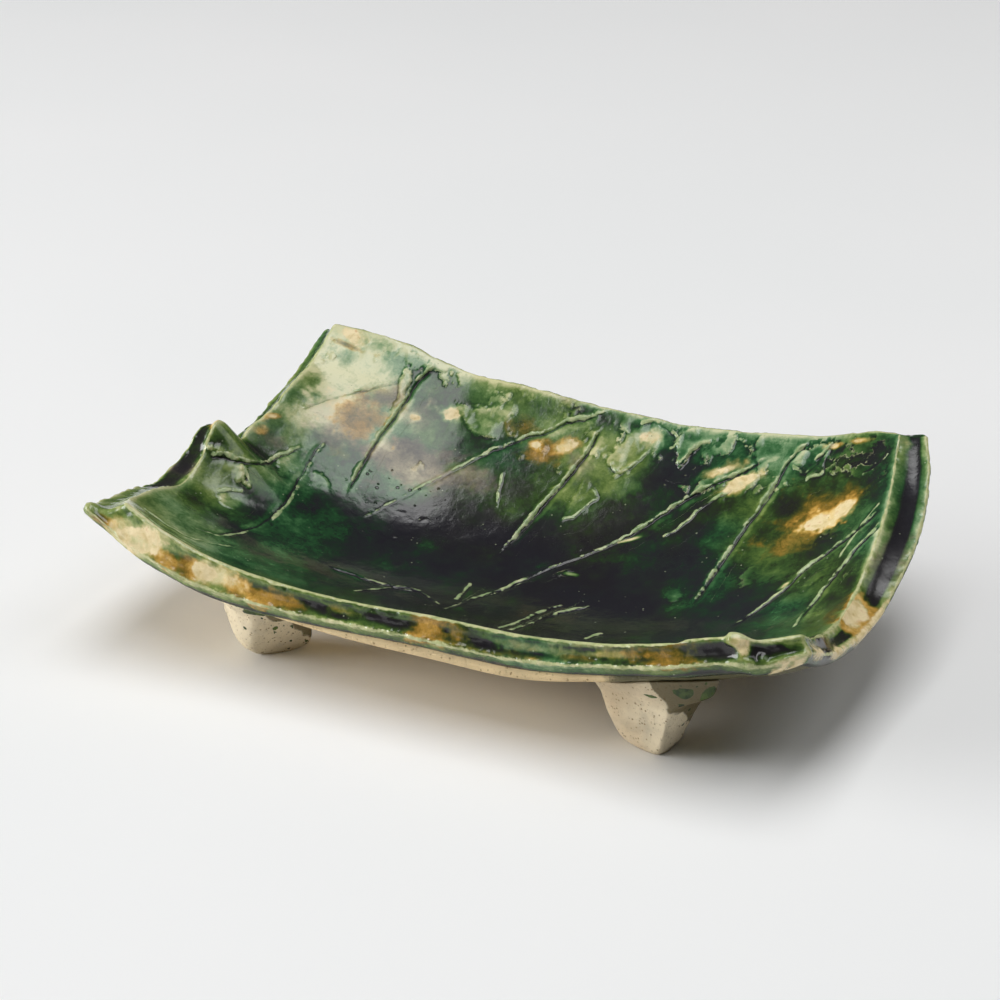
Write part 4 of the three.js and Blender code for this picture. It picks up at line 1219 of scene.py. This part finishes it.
def glaze_material():
    m = Nodes("green_glaze")
    jitter = m.spread(1.1, 250, 6, .66, .4, 51)          # mm, roughens every drawn edge
    fine = m.spread(.7, 1100, 3, .6, .2, 53)
    stroke = m.plus(m.attribute("stroke"), jitter)
    flake = m.plus(m.attribute("flake"), m.plus(jitter, fine))
    inner = m.plus(m.attribute("inner"), jitter)
    outer = m.plus(m.attribute("outer"), m.plus(jitter, fine))
    cut, torn = m.attribute("cut"), m.attribute("torn")

    def line(distance, middle, half, blur, weight):
        off = m.math("ABSOLUTE", m.minus(distance, middle))
        return m.times(m.span(m.minus(off, half), blur, 0), weight)

    ragged = m.times(m.attribute("burr"), m.span(m.noise(130, 5, .62, .2, 69), .3, .7, .1, .9))
    burr = line(stroke, .80, ragged, .38, m.span(m.attribute("burr"), .20, .60))
    crack = line(stroke, -.16, .08, .40, cut)
    bevel = line(stroke, -1.7, .6, 1.3, cut)
    kept = m.span(m.noise(210, 3, .6, .2, 59), .44, .58)
    flake_line = line(flake, .2, .10, .40, m.times(kept, m.span(torn, .25, .75)))
    inner_line = line(inner, .05, m.attribute("inner_line"), .35, 1.0)
    outer_line = line(outer, -.1, m.attribute("outer_line"), .4, 1.0)
    depth = m.plus(m.attribute("thick"), m.spread(.40, 55, 6, .6, .6, 3))
    depth = m.plus(depth, m.spread(.44, 190, 6, .68, .9, 7))
    depth = m.plus(depth, m.spread(.20, 900, 4, .6, .2, 11))
    depth = m.plus(depth, m.times(crack, .50))
    depth = m.minus(depth, m.times(bevel, .22))
    depth = m.minus(depth, m.times(m.times(m.span(flake, 0, .5), torn), .06))
    depth = m.plus(depth, m.times(line(flake, -.7, .1, .7, torn), .08), clamp=True)
    emerald = m.ramp(depth, EMERALD_GLAZE)
    olive = m.ramp(depth, OLIVE_GLAZE)
    color = m.mix(m.attribute("olive"), emerald, olive)
    # brown-grey glaze, in places painted sheen
    mauve_and_sheen = m.ramp(depth, MAUVE_AND_SHEEN_GLAZE)
    tint_and_sheen = m.plus(m.attribute("mauve_and_sheen"), m.spread(1.1, 95, 5, .62, .7, 61))
    color = m.mix(m.span(tint_and_sheen, .25, .95, 0, .85), color, mauve_and_sheen)
    # amber where iron in the clay broke through
    iron = m.plus(m.attribute("iron"), m.spread(.7, 120, 5, .62, .6, 19), clamp=True)
    amber = m.ramp(depth, AMBER_GLAZE)
    color = m.mix(m.span(iron, .2, 1.0), color, amber)
    # cream clay where the glaze is worn or ran off, pale green where it broke thin over an edge
    bare = m.plus(m.attribute("bare"), m.spread(.8, 330, 6, .68, .3, 23), clamp=True)
    cream = m.ramp(m.noise(260, 5, .6, .3, 29), CREAM_CLAY)
    pale = m.ramp(m.noise(330, 5, .6, .3, 57), PALE_BREAK)
    pushed = m.ramp(m.noise(300, 5, .6, .3, 67), PUSHED_CLAY)
    edge = m.larger(m.times(flake_line, .60), m.larger(inner_line, outer_line))
    color = m.mix(edge, color, pale)
    color = m.mix(burr, color, pushed)
    color = m.mix(m.span(bare, .28, .80), color, cream)
    # pale flecks and dark specks
    few = m.span(m.noise(120, 3, .5, 0, 31), .56, .66)
    color = m.mix(m.times(m.span(m.voronoi(340), .16, .08), m.times(few, .4)), color, PALE_FLECK)
    few = m.span(m.noise(150, 3, .5, 0, 37), .58, .7)
    color = m.mix(m.times(m.span(m.voronoi(520), .12, .06), few), color, DARK_SPECK)
    few = m.times(m.span(m.noise(330, 2, .5, 0, 71), .40, .46), m.attribute("pitted"))
    pit = m.times(m.span(m.voronoi(230), .21, .13), few)
    color = m.mix(pit, color, PIT_BLACK)
    roughness = m.plus(m.span(bare, .3, .9, .11, .34), m.times(m.noise(300, 4, .6, 0, 41), .08))
    roughness = m.plus(roughness, m.times(m.attribute("mauve_and_sheen"), .10))
    raised = m.minus(m.plus(m.times(burr, .5), m.times(flake_line, .35)), crack)
    relief = m.bump(m.minus(raised, m.times(pit, 2.5)), .8, .0003)
    lumps = m.bump(m.noise(130, 4, .55, .3, 43), .40, .0004, relief)
    m.principled(color, roughness, m.bump(m.noise(1300, 3, .5, 0, 47), .2, .0001, lumps))
    return m.material


def shade(tone, share):
    return tuple(min(255, channel * share) for channel in tone)


def clay_material(name, light, wash_and_shade):
    m = Nodes(name)
    grain = [(position, shade(light, share)) for position, share in ((.25, .86), (.5, 1), (.75, 1.05))]
    color = m.ramp(m.noise(70, 6, .6, .4, 3), grain)
    toast = m.span(m.noise(28, 4, .5, .3, 9), .45, .75)
    color = m.mix(m.times(toast, .3), color, TOAST)
    few = m.span(m.noise(240, 3, .5, 0, 13), .45, .58)
    color = m.mix(m.times(m.span(m.voronoi(620), .34, .12), few), color, SAND)
    rare = m.span(m.noise(170, 2, .5, 0, 15), .52, .60)
    color = m.mix(m.times(m.span(m.voronoi(330), .20, .08, 0, .7), rare), color, IRON_SPECK)
    color = m.mix(m.span(m.voronoi(900), .26, .10, 0, .35), color, FINE_SPECK)
    # the glaze wash, which on the feet's right sides and under the slab's right end is also painted shade
    root = m.plus(m.attribute("root"), m.spread(.9, 260, 5, .6, .6, 17), clamp=True)
    color = m.mix(m.span(root, .45, .9, 0, .9), color, wash_and_shade)
    splash = m.plus(m.attribute("splash"), m.spread(.5, 500, 4, .6, .4, 27), clamp=True)
    mask = m.span(splash, .45, .6)
    green = m.ramp(m.noise(300, 4, .5, 0, 5), SPLASH_GREEN)
    color = m.mix(mask, color, green)
    roughness = m.minus(.84, m.times(m.larger(mask, m.span(root, .5, .9, 0, .6)), .66))
    gritty = m.bump(m.noise(900, 6, .7, 0, 21), .7, .0004)
    m.principled(color, roughness, m.bump(m.span(m.voronoi(420), .0, .3), .5, .0005, gritty), 1.45)
    return m.material


glaze.data.materials.append(glaze_material())
slab.data.materials.append(clay_material("bare_clay", SLAB_CLAY, SLAB_WASH_AND_SHADE))
foot_clay = clay_material("foot_clay", FOOT_CLAY, FOOT_WASH_AND_SHADE)
for foot in feet:
    foot.data.materials.append(foot_clay)

# Studio
FLOOR_CORNERS = [(-7, -4), (7, -4), (7, 10), (-7, 10)]
ROOM_LEFT, ROOM_RIGHT = .08, .015    # how bright the room is on either side
floor_mesh = bpy.data.meshes.new("studio_floor")
floor_mesh.from_pydata([(x, y, 0) for x, y in FLOOR_CORNERS], [], [(0, 1, 2, 3)])
floor = bpy.data.objects.new("studio_floor", floor_mesh)
bpy.context.scene.collection.objects.link(floor)
paper = Nodes("pale_floor")
paper.principled(paper.ramp(paper.noise(3, 2, .5, 0, 1), PAPER), .7, None, 1.3)
floor.data.materials.append(paper.material)

# Soft boxes: name, direction from the plate, distance and sides in m, radiance, the way the second side runs
LAMPS = [
    ("overhead_box", (.025, -.06, 1), 3.6, (1.85, 3.7), 4.2, (0, 1, 0)),
    ("right_box", (.74, .2, 1), 3.6, (1.6, 2.6), 1.65, (0, 1, 0)),
    ("left_panel", (-.91, -.40, .27), 3.0, (2.0, 1.35), 8.9, (0, 0, 1)),
]


def lamp(name, direction, distance, size, radiance, up):
    """A soft box of the given radiance, aimed at the plate, its second side along up."""
    data = bpy.data.lights.new(name, "AREA")
    data.shape = "RECTANGLE"
    data.size, data.size_y = size
    data.energy = radiance * math.pi * size[0] * size[1]
    obj = bpy.data.objects.new(name, data)
    bpy.context.scene.collection.objects.link(obj)
    back = Vector(direction).normalized()
    right = Vector(up).cross(back).normalized()
    obj.location = back * distance
    obj.rotation_euler = Matrix((right, back.cross(right), back)).transposed().to_euler()
    return obj


for each in LAMPS:
    lamp(*each)

world = bpy.data.worlds.new("studio")
bpy.context.scene.world = world
world.use_nodes = True
tree = world.node_tree
coords = tree.nodes.new("ShaderNodeTexCoord")
split = tree.nodes.new("ShaderNodeSeparateXYZ")
tree.links.new(coords.outputs["Generated"], split.inputs[0])
ramp = tree.nodes.new("ShaderNodeValToRGB")
ramp.color_ramp.elements[0].position, ramp.color_ramp.elements[1].position = .0, 1.0
ramp.color_ramp.elements[0].color = (ROOM_LEFT,) * 3 + (1,)
ramp.color_ramp.elements[1].color = (ROOM_RIGHT,) * 3 + (1,)
sideways = tree.nodes.new("ShaderNodeMapRange")         # the room is darker on the right
sideways.inputs["From Min"].default_value, sideways.inputs["From Max"].default_value = -1, 1
tree.links.new(split.outputs["X"], sideways.inputs["Value"])
tree.links.new(sideways.outputs["Result"], ramp.inputs[0])
tree.links.new(ramp.outputs["Color"], tree.nodes["Background"].inputs["Color"])
tree.nodes["Background"].inputs["Strength"].default_value = 1.0

SENSOR = 36                              # mm
camera_data = bpy.data.cameras.new("camera")
camera_data.sensor_width = SENSOR
camera_data.sensor_fit = "HORIZONTAL"
camera_data.lens = FOCAL_PX / PHOTO_SIZE * SENSOR
camera_data.clip_start, camera_data.clip_end = .05, 20
camera = bpy.data.objects.new("camera", camera_data)
bpy.context.scene.collection.objects.link(camera)
camera.location = Vector((EYE - CENTRE) / MM)
camera.rotation_euler = Vector(TARGET - EYE).to_track_quat("-Z", "Y").to_euler()
bpy.context.scene.camera = camera
bpy.context.scene.view_settings.view_transform = "Standard"
